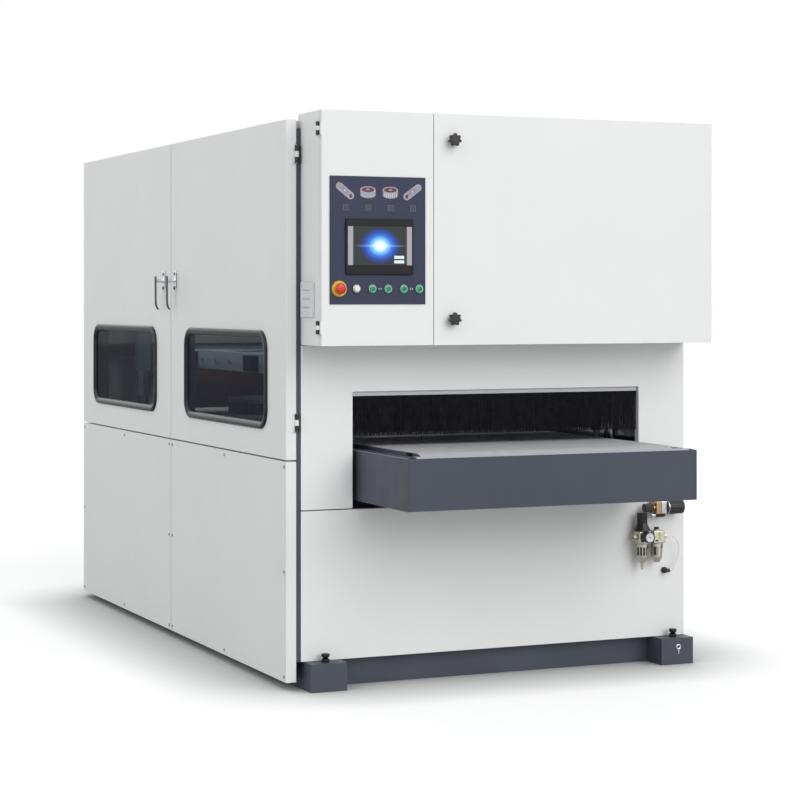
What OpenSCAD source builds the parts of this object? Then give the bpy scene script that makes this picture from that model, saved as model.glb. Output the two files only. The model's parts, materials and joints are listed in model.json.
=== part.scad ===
// Brush sanding machine for panels: a conveyor carries the work through a cabinet of
// roller and disc brushes.
// Millimetres. Z is up, +Y runs from the infeed mouth to the outfeed mouth.
// The origin is on the floor, at the middle of the machine's outline.

/* [Body] */
// Width across the front panels
body_w = 1656; // [1560:1:1760]
// Depth between the outer faces of the front and rear panels
body_d = 2800; // [2700:1:3000]
// Height of the top edge of the left doors
body_top_z = 2127; // [2080:1:2200]
// Height of the seam between the left doors and the covers under them
side_seam_z = 856; // [840:1:880]
// Height of the seam between the upper and lower front panels
front_seam_z = 668; // [650:1:680]
// Depth of a folded panel at the front, rear, right side and roof
panel_t = 30; // [25:1:35]
// Depth of the folded doors and covers on the left side
cover_t = 40; // [36:1:46]
// Thickness of the sheet in panels, covers and doors
sheet_t = 2; // [1.5:0.5:3]
// Gap between the left covers and the front panels, where the frame shows
side_gap = 19; // [18:1:24]
// Height of the lower edge of the left covers
cover_low_z = 31; // [20:1:60]
// Gap between neighbouring panels, covers and doors
seam = 6; // [4:0.5:8]

/* [Base and frame] */
// Height of the base beams
base_h = 105; // [95:1:120]
// Width of the base beams
base_beam_w = 100; // [90:1:110]
// Setback of the base beams behind the front and rear panels
base_recess = 45; // [35:1:60]
// Inset of the base from the left edge of the front panels
base_inset = 12; // [5:1:20]
// Width of a corner foot
foot_w = 145; // [130:1:160]
// Reach of the corner feet in front of the panels
foot_reach = 72; // [60:1:80]
// Side of the square frame tubes
post_w = 60; // [55:1:65]
// Wall of the frame tubes
tube_wall = 4; // [3:0.5:6]

/* [Mouth and table] */
// Distance from the edge of the front panel to the mouth
mouth_margin = 209; // [200:1:220]
// Height of the mouth's top edge
mouth_top_z = 1109; // [1100:1:1120]
// Gap between the mouth's sides and the table
table_side_gap = 19; // [12:1:25]
// Reach of the table beyond the panels at each end
table_reach = 470; // [440:1:520]
// Height of the table's lower edge
table_low_z = 697; // [690:1:705]
// Height of the table's side plates
table_top_z = 886; // [880:1:890]
// Height of the belt's carrying face
belt_z = 900; // [895:1:910]
// Thickness of the belt
belt_t = 3; // [2:0.5:5]
// Distance from the table's side to the belt's edge
belt_margin = 75; // [65:1:85]
// Radius of the conveyor rollers
roller_r = 75; // [65:1:78]

/* [Brush head] */
// Height of the passage between belt and brushes at rest
passage_h = 40; // [35:1:45]
// Radius of a roller brush
roller_brush_r = 90; // [80:1:95]
// Distance of the roller brushes from the middle of the machine
roller_unit_y = 900; // [870:1:930]
// Distance of the disc units from the middle of the machine
disc_unit_y = 320; // [300:1:340]
// Gap between the two discs of a unit
disc_gap = 45; // [40:1:60]
// Height of a disc brush's bristles
disc_bristle_h = 50; // [40:1:60]
// Height of the head's beams above the lowest point of the brushes
head_rise = 210; // [205:1:225]
// Height of the head's beams
head_beam_h = 80; // [76:1:90]
// Radius of the guide columns
column_r = 30; // [26:1:32]
// Distance of the guide columns from the middle of the machine
column_y = 1050; // [1040:1:1065]
// Travel of the brush head for thicker work
lift_travel = 100; // [60:1:105]

/* [Doors and windows] */
// Length of a side window with its frame
window_w = 1000; // [900:1:1050]
// Height of a side window with its frame
window_h = 378; // [340:1:400]
// Height of a window frame's lower edge
window_low_z = 961; // [950:1:990]
// Outer corner radius of a window frame
window_r = 75; // [60:1:90]
// Width of a window frame
window_frame_w = 30; // [24:1:36]
// How far a window frame stands proud of its door
window_proud = 10; // [6:1:14]
// Height of the handles' spindles
handle_z = 1538; // [1500:1:1600]
// How far the handles stand out from the doors
handle_reach = 45; // [42:1:55]
// Length of a handle below its spindle
handle_len = 126; // [110:1:140]
// Distance from the door seam to the front door's handle
front_handle_y = 68; // [60:1:80]
// Distance from the door seam to the rear door's handle
rear_handle_y = 94; // [84:1:100]

/* [Electrical cabinet] */
// Reach of the cabinet's doors in front of the panels
cabinet_reach = 210; // [190:1:230]
// Height of the cabinet's lower edge
cabinet_low_z = 1287; // [1280:1:1300]
// How far the cabinet's top stands above the top edge of the left doors
cabinet_over = 22; // [15:1:50]
// Width of the control door
control_door_w = 448; // [440:1:470]
// Thickness of the cabinet's doors
door_t = 20; // [18:1:24]
// Width of the control plate
control_plate_w = 383; // [378:1:390]
// Height of the control plate
control_plate_h = 470; // [460:1:490]
// Height of the control plate's lower edge
control_plate_z = 1439; // [1430:1:1450]
// Width of the touch screen's bezel
screen_w = 270; // [250:1:275]
// Height of the touch screen's bezel
screen_h = 206; // [190:1:215]
// Radius of a push button
button_r = 11; // [10:0.5:12]
// Travel of a push button
button_travel = 4; // [3:0.5:5]
// Radius of the emergency stop's mushroom head
stop_r = 20; // [18:1:24]
// Travel of the emergency stop
stop_travel = 8; // [5:0.5:9]
// Radius over the lobes of a star knob
star_r = 25; // [22:1:28]

/* [Air unit] */
// Distance of the regulator from the right edge of the front panel
air_inset = 216; // [212:1:222]
// Distance of the air unit's axis in front of the panel
air_out = 40; // [38:1:44]
// Height of the air unit's ports
air_port_z = 515; // [513:1:517]
// Distance between the regulator and the lubricator
air_pitch = 66; // [65:1:68]
// Radius of the regulator's knob
regulator_knob_r = 20.5; // [18:0.5:22]
// Radius of the tube that the inlet takes
inlet_tube_r = 5; // [4:0.5:5]
// Radius of the pressure gauge
gauge_r = 21.5; // [20:0.5:24]

/* [Roof] */
// Outer radius of the dust collars
collar_r = 75; // [60:1:80]
// Height of the dust collars above the roof
collar_h = 60; // [50:1:70]

/* [Hidden] */
$fn = 48;
// Running clearance of a shaft in its bore, gap between seated parts, and overrun of the cuts
run_fit = 0.05;
gap = 0.3;
cut = 1;

// Outline of the body
outline_w = body_w + side_gap + cover_t + handle_reach;
half_d = body_d / 2;
body_x0 = handle_reach + cover_t + side_gap - outline_w / 2;
body_x1 = outline_w / 2;
mid_x = (body_x0 + body_x1) / 2;
cover_x1 = body_x0 - side_gap;
cover_x0 = cover_x1 - cover_t;
frame_x0 = cover_x1 + gap;
frame_x1 = body_x1 - panel_t - gap;
frame_y = half_d - panel_t - gap;
roof_drop = 2;
roof_z = body_top_z - roof_drop;
frame_top_z = roof_z - panel_t - gap;
frame_low_z = base_h + gap;

// Frame
base_wall = 8;
strip_gap = 2;
header_lift = 71;
header_z = mouth_top_z + header_lift;
sill_drop = 2;
sill_z = front_seam_z - sill_drop;
base_x0 = body_x0 + base_inset;
base_y = half_d - base_recess;
foot_wall = 10;
stand_w = 50;
stand_gap = 7;

// Levelling feet and earth lug
bolt_r = 10;
bolt_hole_r = 11;
bolt_rise = 32;
nut_r = 17;
nut_h = 12;
pad_r = 24;
pad_h = 10;
lug_inset = 69;
lug_z = 69;
lug_r = 12;
lug_hole_r = 5;
lug_t = 4;
lug_tail = 28;
lug_tail_w = 9;

// Panel screws
screw_r = 6;
screw_h = 2.5;
screw_shank_r = 3;
screw_shank_l = 9;
screw_edge = 20;

// Mouth, table and belt
mouth_w = body_w - 2 * mouth_margin;
table_w = mouth_w - 2 * table_side_gap;
belt_w = table_w - 2 * belt_margin;
table_y = half_d + table_reach;
table_wall = 5;
roller_clear = 12;
stand_x = belt_w / 2 + stand_gap + stand_w / 2;
roller_y = table_y - table_wall - roller_clear - belt_t - roller_r;
roller_z = belt_z - belt_t - roller_r;
roller_over = 5;
shaft_r = 17.5;
bearing_w = 60;
bearing_t = 30;
slider_over = 5;
slider_end = 10;
member_w = 40;
member_h = 60;
member_pitch = 525;
member_top_z = table_top_z - table_wall;
side_cap_gap = 6;
lip_h = 7;
lip_w = 8;
lip_corner = 34;

// Conveyor drive
gearbox_w = 136;
gearbox_h = 150;
drive_motor_r = 62;
drive_motor_l = 225;
drive_cowl_r = 66;
drive_cowl_l = 45;

// Curtains
holder_h = 17;
holder_t = 14;
holder_setback = 10;
curtain_end_gap = 4;
backing_h = 8;
strand_t = 1.6;
strand_layer_gap = 2.4;
strand_count = 115;
strand_share = 0.62;
strand_wave = 3;
strand_wave_step = 77;

// Guide columns, jacks and lift rods
sleeve_wall = 9.6;
sleeve_r = column_r + sleeve_wall;
sleeve_h = 200;
sleeve_margin = 8;
column_x = body_w / 2 - panel_t - post_w - sleeve_r - sleeve_margin;
jack_w = 70;
jack_over = 25;
jack_h = lift_travel + jack_over;
lift_rod_r = 15;
lift_rod_z = 112;

// Brush head
brush_z = belt_z + passage_h;
head_z = brush_z + head_rise;
head_top_z = head_z + head_beam_h;
head_beam_w = 60;
head_beam_x = column_x - sleeve_r - gap;
head_inner_x = head_beam_x - head_beam_w;
deck_t = 12;
roller_deck_w = 200;
disc_deck_w = 300;
brush_shaft_r = 20;
hanger_t = 30;
hanger_w = 100;
hanger_in = 15;
roller_brush_z = brush_z + roller_brush_r;
hanger_low_z = roller_brush_z - hanger_w / 2;
disc_x = belt_w / 4;
disc_r = (belt_w / 2 - disc_gap) / 2;
disc_plate_t = 20;
disc_hub_r = 45;
disc_hub_h = 30;
disc_housing_r = 60;
disc_housing_rise = 138;
hold_down_r = 40;
hold_down_shaft_r = 15;
hold_down_t = 15;
hold_down_gap = 190;
hold_down_y = roller_unit_y + roller_brush_r + hold_down_gap + hold_down_r;
head_len_y = hold_down_y + head_beam_w / 2;

// Brush motors
roller_motor_r = 80;
roller_motor_l = 300;
motor_foot_h = 12;
motor_shaft_r = 19;
guard_w = 120;
guard_t = 40;
guard_rise = 170;
guard_drop = 75;
disc_case_l = 640;
disc_case_w = 180;
disc_case_h = 70;
disc_motor_r = 90;
disc_motor_h = 210;
cowl_h = 55;
cowl_in = 6;

// Hinges
hinge_r = 7;
hinge_pin_r = 3;
hinge_off = 8;
hinge_leaf_t = 4;
hinge_play = 0.5;
side_hinge_h = 66;
side_leaf_w = 16;
side_hinge_rise = 142;
side_hinge_drop = 129;
cabinet_hinge_h = 48;
cabinet_moving_leaf_w = 20;
cabinet_fixed_leaf_w = 30;
cabinet_hinge_inset = 67;

// Door windows and handles
door_y0 = seam / 2;
door_mid_y = (half_d + door_y0) / 2;
window_lap = 12;
window_neck = 8;
window_gap = 0.5;
pane_t = 5;
pane_set = 1;
lock_t = 5;
lock_w = 38;
lock_h = 84;
spindle_r = 6;
hub_r = 13;
hub_l = 28;
lever_w = 18;
lever_t = 11;
lever_top = 16;
lever_bend = 26;
lever_end_out = 16;
tongue_len = 80;
tongue_w = 16;
tongue_t = 6;
tongue_gap = 2;

// Cabinet shell and its doors
cabinet_gap = 3;
cabinet_top_z = body_top_z + cabinet_over;
cabinet_sheet = 2.5;
front_y = -half_d - cabinet_reach;
door_back_y = front_y + door_t;
shell_y0 = door_back_y + cabinet_gap;
shell_y1 = -half_d + panel_t;
seam_x = body_x0 + control_door_w;
return_w = 30;
divider_w = 40;
pocket_inset = 18;
pocket_w = 124;
pocket_h = 130;
pocket_t = 9;
pocket_z = 1392;

// Concealed pivots of the power door
pivot_in = 7;
pivot_pin_r = 3;
pivot_x = body_x1 - pivot_in;
pivot_y = (front_y + door_back_y) / 2;
pivot_arm_x = 20;
pivot_arm_t = 6;
pivot_arm_h = 24;
pivot_lug_h = 16;
pivot_lug_r = 6;

// Control plate and what it carries
control_plate_t = 3;
control_plate_inset = 30;
control_lap = 8;
screen_in = 61;
screen_drop = 155;
screen_proud = 7;
screen_body_d = 42;
screen_lap = 14;
display_w = 214;
display_h = 143;
display_sink = 1.5;
first_button_in = 105;
button_pitch = 63;
button_rise = 57;
button_count = 5;
bezel_r = 15;
bezel_h = 4;
button_proud = 6;
contact_w = 30;
contact_d = 45;
stop_in = 37;
stop_head_h = 15;
collar_stop_r = 30;
collar_stop_h = 4;
stop_stem_r = 11;

// Star knobs
star_in = 76;
star_inset = 97;
star_lobes = 7;
star_lobe_r = 6.5;
star_core_r = 16;
star_h = 22;
star_off = 14;
star_neck_r = 9;
star_shaft_r = 5;
cam_len = 60;
cam_w = 14;
cam_t = 4;
cam_gap = 2;

// Cabinet components
plate_margin = 60;
plate_t = 3;
drive_w = 150;
drive_h_share = 0.34;
drive_d = 125;
drive_count = 4;
drive_pitch = 190;
drive_in = 60;
drive_rise_share = 0.445;
contactor_w = 45;
contactor_h_share = 0.115;
contactor_d = 90;
contactor_count = 12;
contactor_pitch = 62;
contactor_rise_share = 0.175;
duct_h_share = 0.05;
duct_d = 60;
duct_rise_shares = [0.08, 0.337, 0.86];

// Air unit
air_x = body_x1 - air_inset;
air_y = -half_d - air_out;
air_body_w = 54;
air_body_d = 50;
air_body_up = 22;
air_body_down = 30;
air_link_w = 30;
air_port_r = 11;
air_port_l = 15;
out_port_r = 9;
out_port_l = 14;
bonnet_h = 30;
bonnet_r1 = 33;
bonnet_r2 = 21;
neck_r = 12;
neck_h = 28;
knob_h = 40;
rib_r = 1.4;
rib_count = 20;
bowl_r = 23.5;
bowl_h = 55;
bowl_cone_h = 21;
bowl_tip_r = 13;
drain_r = 7;
drain_h = 27;
cap_r = 10;
cap_h = 12;
gauge_l = 34;
gauge_stem_r = 7;
gauge_stem_l = 6;
bracket_w = 40;

// Fittings on the lower front panel
valve_x = body_x1 - 135;
valve_z = 626;
valve_out = 36;
valve_w = 50;
valve_h = 50;
valve_d = 44;
valve_port_r = 17;
valve_port_l = 46;
valve_tail_r = 9;
valve_tail_drop = 30;
valve_tail_l = 37;
valve_stem_r = 8;
valve_stem_l = 22;
valve_knob_r = 28;
valve_knob_l = 78;
elbow_x = body_x1 - 94;
elbow_z = 370;
elbow_r = 12.5;
elbow_l = 12;
elbow_out = 24;
elbow_arm_r = 8;
elbow_arm_l = 14;

// Route of the clear tube, from the lubricator to the elbow
tube_r = 3;
tube_sides = 8;
tube_steps = 3;
tube_route = [
  [771, -1440, 515], [780, -1440, 515], [802, -1440, 511], [822, -1438, 496], [834, -1435, 470],
  [837, -1432, 440], [831, -1429, 410], [818, -1426, 386], [809, -1424, 370], [800, -1424, 370]
];

white_paint = [0.90, 0.90, 0.89];
slate_paint = [0.29, 0.31, 0.36];
frame_paint = [0.20, 0.21, 0.25];
steel = [0.70, 0.71, 0.73];
chrome = [0.82, 0.83, 0.85];
black_plastic = [0.07, 0.07, 0.08];
belt_grey = [0.74, 0.75, 0.77];
cast_cream = [0.78, 0.77, 0.70];

// A box between two opposite corners, given in any order
module block(a, b) {
  low = [for (i = [0:2]) min(a[i], b[i])];
  high = [for (i = [0:2]) max(a[i], b[i])];
  translate(low) cube(high - low);
}

// Round bars along an axis, from one place to another
module rod_x(p, r, x0, x1) translate([min(x0, x1), p[0], p[1]]) rotate([0, 90, 0])
    cylinder(r = r, h = abs(x1 - x0));
module rod_y(p, r, y0, y1) translate([p[0], min(y0, y1), p[1]]) rotate([-90, 0, 0])
    cylinder(r = r, h = abs(y1 - y0));
module rod_z(p, r, z0, z1) translate([p[0], p[1], min(z0, z1)]) cylinder(r = r, h = abs(z1 - z0));

// A folded sheet tray that is open on the high or low side of axis k
module tray(a, b, k, open_high) {
  low = [for (i = [0:2]) min(a[i], b[i])];
  high = [for (i = [0:2]) max(a[i], b[i])];
  difference() {
    block(low, high);
    block([for (i = [0:2]) i == k && !open_high ? low[i] - cut : low[i] + sheet_t],
          [for (i = [0:2]) i == k && open_high ? high[i] + cut : high[i] - sheet_t]);
  }
}

// A square tube along axis k
module tube(a, b, k, wall = tube_wall) {
  low = [for (i = [0:2]) min(a[i], b[i])];
  high = [for (i = [0:2]) max(a[i], b[i])];
  difference() {
    block(low, high);
    block([for (i = [0:2]) i == k ? low[i] - cut : low[i] + wall],
          [for (i = [0:2]) i == k ? high[i] + cut : high[i] - wall]);
  }
}

// A slab in the YZ plane with round corners
module round_slab(x0, x1, y0, y1, z0, z1, r) {
  block([x0, y0 + r, z0], [x1, y1 - r, z1]);
  block([x0, y0, z0 + r], [x1, y1, z1 - r]);
  for (y = [y0 + r, y1 - r], z = [z0 + r, z1 - r]) rod_x([y, z], r, x0, x1);
}

// A hinge leaf about the Z axis: the moving leaf lies on the low X side and carries the middle knuckle
module hinge_leaf(h, leaf_w, moving) {
  side = moving ? -1 : 1;
  knuckle_h = (h - 2 * hinge_play) / 3;
  step = knuckle_h + hinge_play;
  difference() {
    union() {
      block([side * (hinge_r + hinge_play), hinge_off - hinge_leaf_t, -h / 2],
          [side * leaf_w, hinge_off, h / 2]);
      for (z = moving ? [0] : [-step, step]) {
        rod_z([0, 0], hinge_r, z - knuckle_h / 2, z + knuckle_h / 2);
        block([0, hinge_off - hinge_leaf_t, z - knuckle_h / 2],
              [side * (hinge_r + hinge_play + cut), hinge_off - gap, z + knuckle_h / 2]);
      }
      if (!moving) rod_z([0, 0], hinge_pin_r, -h / 2, h / 2);
    }
    if (moving) rod_z([0, 0], hinge_pin_r + run_fit, -h, h);
  }
}

side_hinge_zs = [side_seam_z + side_hinge_rise, body_top_z - side_hinge_drop];
cabinet_hinge_zs = [cabinet_low_z + cabinet_hinge_inset, cabinet_top_z - cabinet_hinge_inset];
module side_hinge(s, z, moving) {
  translate([cover_x1, s * (half_d + hinge_off), z]) {
    if (s > 0) mirror([0, 1, 0]) hinge_leaf(side_hinge_h, side_leaf_w, moving);
    else hinge_leaf(side_hinge_h, side_leaf_w, moving);
  }
}
module cabinet_hinge(z, leaf_w, moving) {
  translate([body_x0 - hinge_off, door_back_y, z]) mirror([1, -1, 0])
      hinge_leaf(cabinet_hinge_h, leaf_w, moving);
}

// Base beams, corner feet and the stands that carry the table
module base_frame() color(frame_paint) {
  inner_x0 = base_x0 + base_beam_w + gap;
  inner_x1 = body_x1 - base_beam_w - gap;
  for (x = [base_x0, body_x1 - base_beam_w])
    tube([x, -base_y, 0], [x + base_beam_w, base_y, base_h], 1, base_wall);
  for (y = [-base_y, -column_y - base_beam_w / 2, -base_beam_w / 2, column_y - base_beam_w / 2,
            base_y - base_beam_w])
    tube([inner_x0, y, 0], [inner_x1, y + base_beam_w, base_h], 0, base_wall);
  for (x = [base_x0, body_x1 - foot_w], s = [-1, 1]) difference() {
    block([x, s * (base_y + gap), 0], [x + foot_w, s * (half_d + foot_reach), base_h]);
    block([x + foot_wall, s * (base_y + gap + foot_wall), -cut],
          [x + foot_w - foot_wall, s * (half_d + foot_reach - foot_wall), base_h - foot_wall]);
    rod_z(foot_bolt(x, s), bolt_hole_r, 0, base_h + cut);
  }
  for (x = [-stand_x, stand_x], y = [-column_y, 0, column_y])
    tube([mid_x + x - stand_w / 2, y - stand_w / 2, base_h + gap],
         [mid_x + x + stand_w / 2, y + stand_w / 2, member_top_z - member_h - gap], 2);
}
function foot_bolt(x, s) = [x + foot_w / 2, s * (half_d + foot_reach / 2)];

// Levelling bolts with their pads and nuts, and the earth lug on the right foot
module foot_hardware() color(black_plastic) {
  for (x = [base_x0, body_x1 - foot_w], s = [-1, 1]) {
    rod_z(foot_bolt(x, s), bolt_r, 0, base_h + bolt_rise);
    rod_z(foot_bolt(x, s), pad_r, 0, pad_h);
    translate(concat(foot_bolt(x, s), [base_h + gap])) cylinder(r = nut_r, h = nut_h, $fn = 6);
    translate(concat(foot_bolt(x, s), [base_h + bolt_rise - nut_h]))
        cylinder(r = nut_r, h = nut_h, $fn = 6);
  }
  lug_x = body_x1 - lug_inset;
  lug_y = -half_d - foot_reach - gap;
  difference() {
    union() {
      rod_y([lug_x, lug_z], lug_r, lug_y - lug_t, lug_y);
      block([lug_x - lug_tail_w / 2, lug_y - lug_t, lug_z - lug_tail],
          [lug_x + lug_tail_w / 2, lug_y, lug_z]);
    }
    rod_y([lug_x, lug_z], lug_hole_r, lug_y - lug_t - cut, lug_y + cut);
  }
}

// Posts, top beams, side rails, mouth rails and the strips that carry the door hinges
module upper_frame() color(frame_paint) {
  top_z0 = frame_top_z - post_w;
  in_x0 = frame_x0 + post_w + gap;
  in_x1 = frame_x1 - post_w - gap;
  for (x = [frame_x0, frame_x1 - post_w], y = [-frame_y, -post_w / 2, frame_y - post_w])
    tube([x, y, frame_low_z], [x + post_w, y + post_w, frame_top_z], 2);
  for (x = [frame_x0, frame_x1 - post_w], s = [-1, 1], z = [side_seam_z - post_w / 2, top_z0])
    tube([x, s * (post_w / 2 + gap), z], [x + post_w, s * (frame_y - post_w - gap), z + post_w], 1);
  for (y = [-frame_y, -column_y - post_w / 2, -post_w / 2, column_y - post_w / 2, frame_y - post_w])
    tube([in_x0, y, top_z0], [in_x1, y + post_w, frame_top_z], 0);
  for (y = [-frame_y, frame_y - post_w], z = [header_z, sill_z - post_w])
    tube([in_x0, y, z], [in_x1, y + post_w, z + post_w], 0);
  for (s = [-1, 1])
    block([frame_x0, s * (half_d - gap), frame_low_z],
        [body_x0 - strip_gap, s * (frame_y + gap), frame_top_z]);
}

// Roof sheet with its dust collars
module roof_panel() color(white_paint) difference() {
  union() {
    tray([frame_x0, -frame_y - gap, roof_z - panel_t], [body_x1, frame_y + gap, roof_z], 2, false);
    for (y = collar_ys) rod_z([mid_x, y], collar_r, roof_z - sheet_t, roof_z + collar_h);
  }
  for (y = collar_ys) rod_z([mid_x, y], collar_r - sheet_t, roof_z - panel_t, roof_z + collar_h + cut);
}
collar_ys = [-roller_unit_y, -disc_unit_y, disc_unit_y, roller_unit_y];

// A front or rear panel with the mouth cut out of its lower edge
module mouth_panel(s, top_z) color(white_paint) {
  low = front_seam_z + sheet_t;
  difference() {
    block([body_x0, s * half_d, low], [body_x1, s * (half_d - panel_t), top_z]);
    block([mid_x - mouth_w / 2, s * (half_d + cut), low - cut],
          [mid_x + mouth_w / 2, s * (half_d - panel_t - cut), mouth_top_z]);
    difference() {
      block([body_x0 + sheet_t, s * (half_d - sheet_t), low + sheet_t],
            [body_x1 - sheet_t, s * (half_d - panel_t - cut), top_z - sheet_t]);
      block([mid_x - mouth_w / 2 - sheet_t, s * half_d, low - cut],
            [mid_x + mouth_w / 2 + sheet_t, s * (half_d - panel_t - 2 * cut), mouth_top_z + sheet_t]);
    }
  }
}
module front_upper_panel() mouth_panel(-1, cabinet_low_z - sheet_t);
module rear_upper_panel() mouth_panel(1, roof_z);
module lower_panel(s) color(white_paint)
  tray([body_x0, s * half_d, base_h + gap], [body_x1, s * (half_d - panel_t), front_seam_z - sheet_t],
      1, s < 0);
module front_lower_panel() lower_panel(-1);
module rear_lower_panel() lower_panel(1);

// Fixed side covers; their screws sit round the edges
function screw_places(y0, y1, z0, z1) = [
  for (y = [y0 + screw_edge, (y0 + y1) / 2, y1 - screw_edge],
      z = [z0 + screw_edge, (z0 + z1) / 2, z1 - screw_edge])
    if (y != (y0 + y1) / 2 || z != (z0 + z1) / 2) [y, z]
];
left_cover_z1 = side_seam_z - seam / 2;
right_spans = [
  for (y = [[-frame_y, -seam / 2], [seam / 2, frame_y]],
       z = [[base_h + gap, side_seam_z - seam / 2], [side_seam_z + seam / 2, roof_z - panel_t - gap]])
           [y, z]
];
left_spans = [for (y = [[-half_d, -seam / 2], [seam / 2, half_d]]) [y, [cover_low_z, left_cover_z1]]];
module left_lower_panels() color(white_paint) for (p = left_spans) difference() {
  tray([cover_x0, p[0][0], p[1][0]], [cover_x1, p[0][1], p[1][1]], 0, true);
  for (q = screw_places(p[0][0], p[0][1], p[1][0], p[1][1]))
    rod_x(q, screw_shank_r + run_fit, cover_x0 - cut, cover_x0 + sheet_t + cut);
}
module right_side_panels() color(white_paint) for (p = right_spans) difference() {
  tray([body_x1 - panel_t, p[0][0], p[1][0]], [body_x1, p[0][1], p[1][1]], 0, false);
  for (q = screw_places(p[0][0], p[0][1], p[1][0], p[1][1]))
    rod_x(q, screw_shank_r + run_fit, body_x1 - sheet_t - cut, body_x1 + cut);
}
module panel_screws() color(steel) {
  for (p = left_spans, q = screw_places(p[0][0], p[0][1], p[1][0], p[1][1])) {
    rod_x(q, screw_r, cover_x0 - screw_h, cover_x0 - run_fit);
    rod_x(q, screw_shank_r, cover_x0 - screw_h, cover_x0 + screw_shank_l);
  }
  for (p = right_spans, q = screw_places(p[0][0], p[0][1], p[1][0], p[1][1])) {
    rod_x(q, screw_r - screw_shank_r / 2, body_x1 - sheet_t - screw_h, body_x1 - sheet_t - run_fit);
    rod_x(q, screw_shank_r, body_x1 - sheet_t - screw_shank_l, body_x1);
  }
}

// Cabinet shell of separate sheets, with the divider that both doors close on
module electrical_cabinet() color(white_paint) {
  t = cabinet_sheet;
  in_x0 = body_x0 + t + gap;
  in_x1 = body_x1 - t - gap;
  in_y = shell_y1 - t - gap;
  in_z0 = cabinet_low_z + t + gap;
  in_z1 = cabinet_top_z - t - gap;
  block([body_x0, shell_y1 - t, cabinet_low_z], [body_x1, shell_y1, cabinet_top_z]);
  for (x = [body_x0, body_x1 - t]) block([x, shell_y0, cabinet_low_z], [x + t, in_y, cabinet_top_z]);
  for (z = [cabinet_low_z, cabinet_top_z - t]) block([in_x0, shell_y0, z], [in_x1, in_y, z + t]);
  for (x = [[in_x0, body_x0 + return_w], [in_x1, body_x1 - return_w]])
    block([x[0], shell_y0, in_z0], [x[1], shell_y0 + t, in_z1]);
  for (s = [0, 1], z = [[in_z0, cabinet_low_z + return_w], [in_z1, cabinet_top_z - return_w]])
    block([s == 0 ? body_x0 + return_w + gap : seam_x + divider_w / 2 + gap, shell_y0, z[0]],
          [s == 0 ? seam_x - divider_w / 2 - gap : body_x1 - return_w - gap, shell_y0 + t, z[1]]);
  block([seam_x - divider_w / 2, shell_y0, in_z0], [seam_x + divider_w / 2, shell_y0 + t, in_z1]);
  block([seam_x - t / 2, shell_y0 + t + gap, in_z0], [seam_x + t / 2, in_y, in_z1]);
}

// Mounting plate with drives, contactors and wiring ducts, spread over the compartment's height
module electrical_components() {
  mount_y = shell_y1 - cabinet_sheet - gap;
  face_y = mount_y - plate_t - gap;
  x0 = seam_x + plate_margin;
  x1 = body_x1 - plate_margin;
  z0 = cabinet_low_z + plate_margin;
  h = cabinet_top_z - plate_margin - z0;
  color(steel) block([x0, mount_y - plate_t, z0], [x1, mount_y, z0 + h]);
  color(slate_paint) for (i = [0:drive_count - 1])
    block([x0 + drive_in + i * drive_pitch, face_y - drive_d, z0 + drive_rise_share * h],
          [x0 + drive_in + i * drive_pitch + drive_w, face_y, z0 + (drive_rise_share + drive_h_share) * h]);
  color(white_paint) for (i = [0:contactor_count - 1])
    block([x0 + drive_in + i * contactor_pitch, face_y - contactor_d, z0 + contactor_rise_share * h],
          [x0 + drive_in + i * contactor_pitch + contactor_w, face_y,
           z0 + (contactor_rise_share + contactor_h_share) * h]);
  color(steel) for (share = duct_rise_shares)
    block([x0 + drive_in, face_y - duct_d, z0 + share * h],
          [x1 - drive_in, face_y, z0 + (share + duct_h_share) * h]);
}

// Clear pocket on the cabinet's left side
module document_pocket() color(white_paint) tray(
  [body_x0 - gap - pocket_t, -half_d - pocket_inset - pocket_w, pocket_z],
  [body_x0 - gap, -half_d - pocket_inset, pocket_z + pocket_h], 2, true);

module fixed_hinge_leaves() color(black_plastic) {
  for (s = [-1, 1], z = side_hinge_zs) side_hinge(s, z, false);
  for (z = cabinet_hinge_zs) cabinet_hinge(z, cabinet_fixed_leaf_w, false);
  for (z = cabinet_hinge_zs) {
    arm_x0 = pivot_x - pivot_arm_x;
    block([arm_x0, pivot_y - pivot_arm_t / 2, z - pivot_arm_h / 2],
          [arm_x0 + pivot_arm_t, shell_y0 - gap, z + pivot_arm_h / 2]);
    block([arm_x0, pivot_y - pivot_arm_t / 2, z - pivot_arm_h / 2],
          [pivot_x, pivot_y + pivot_arm_t / 2, z + pivot_arm_h / 2]);
    rod_z([pivot_x, pivot_y], pivot_pin_r, z - pivot_arm_h / 2, z + pivot_arm_h / 2 + pivot_lug_h);
  }
}

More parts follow.
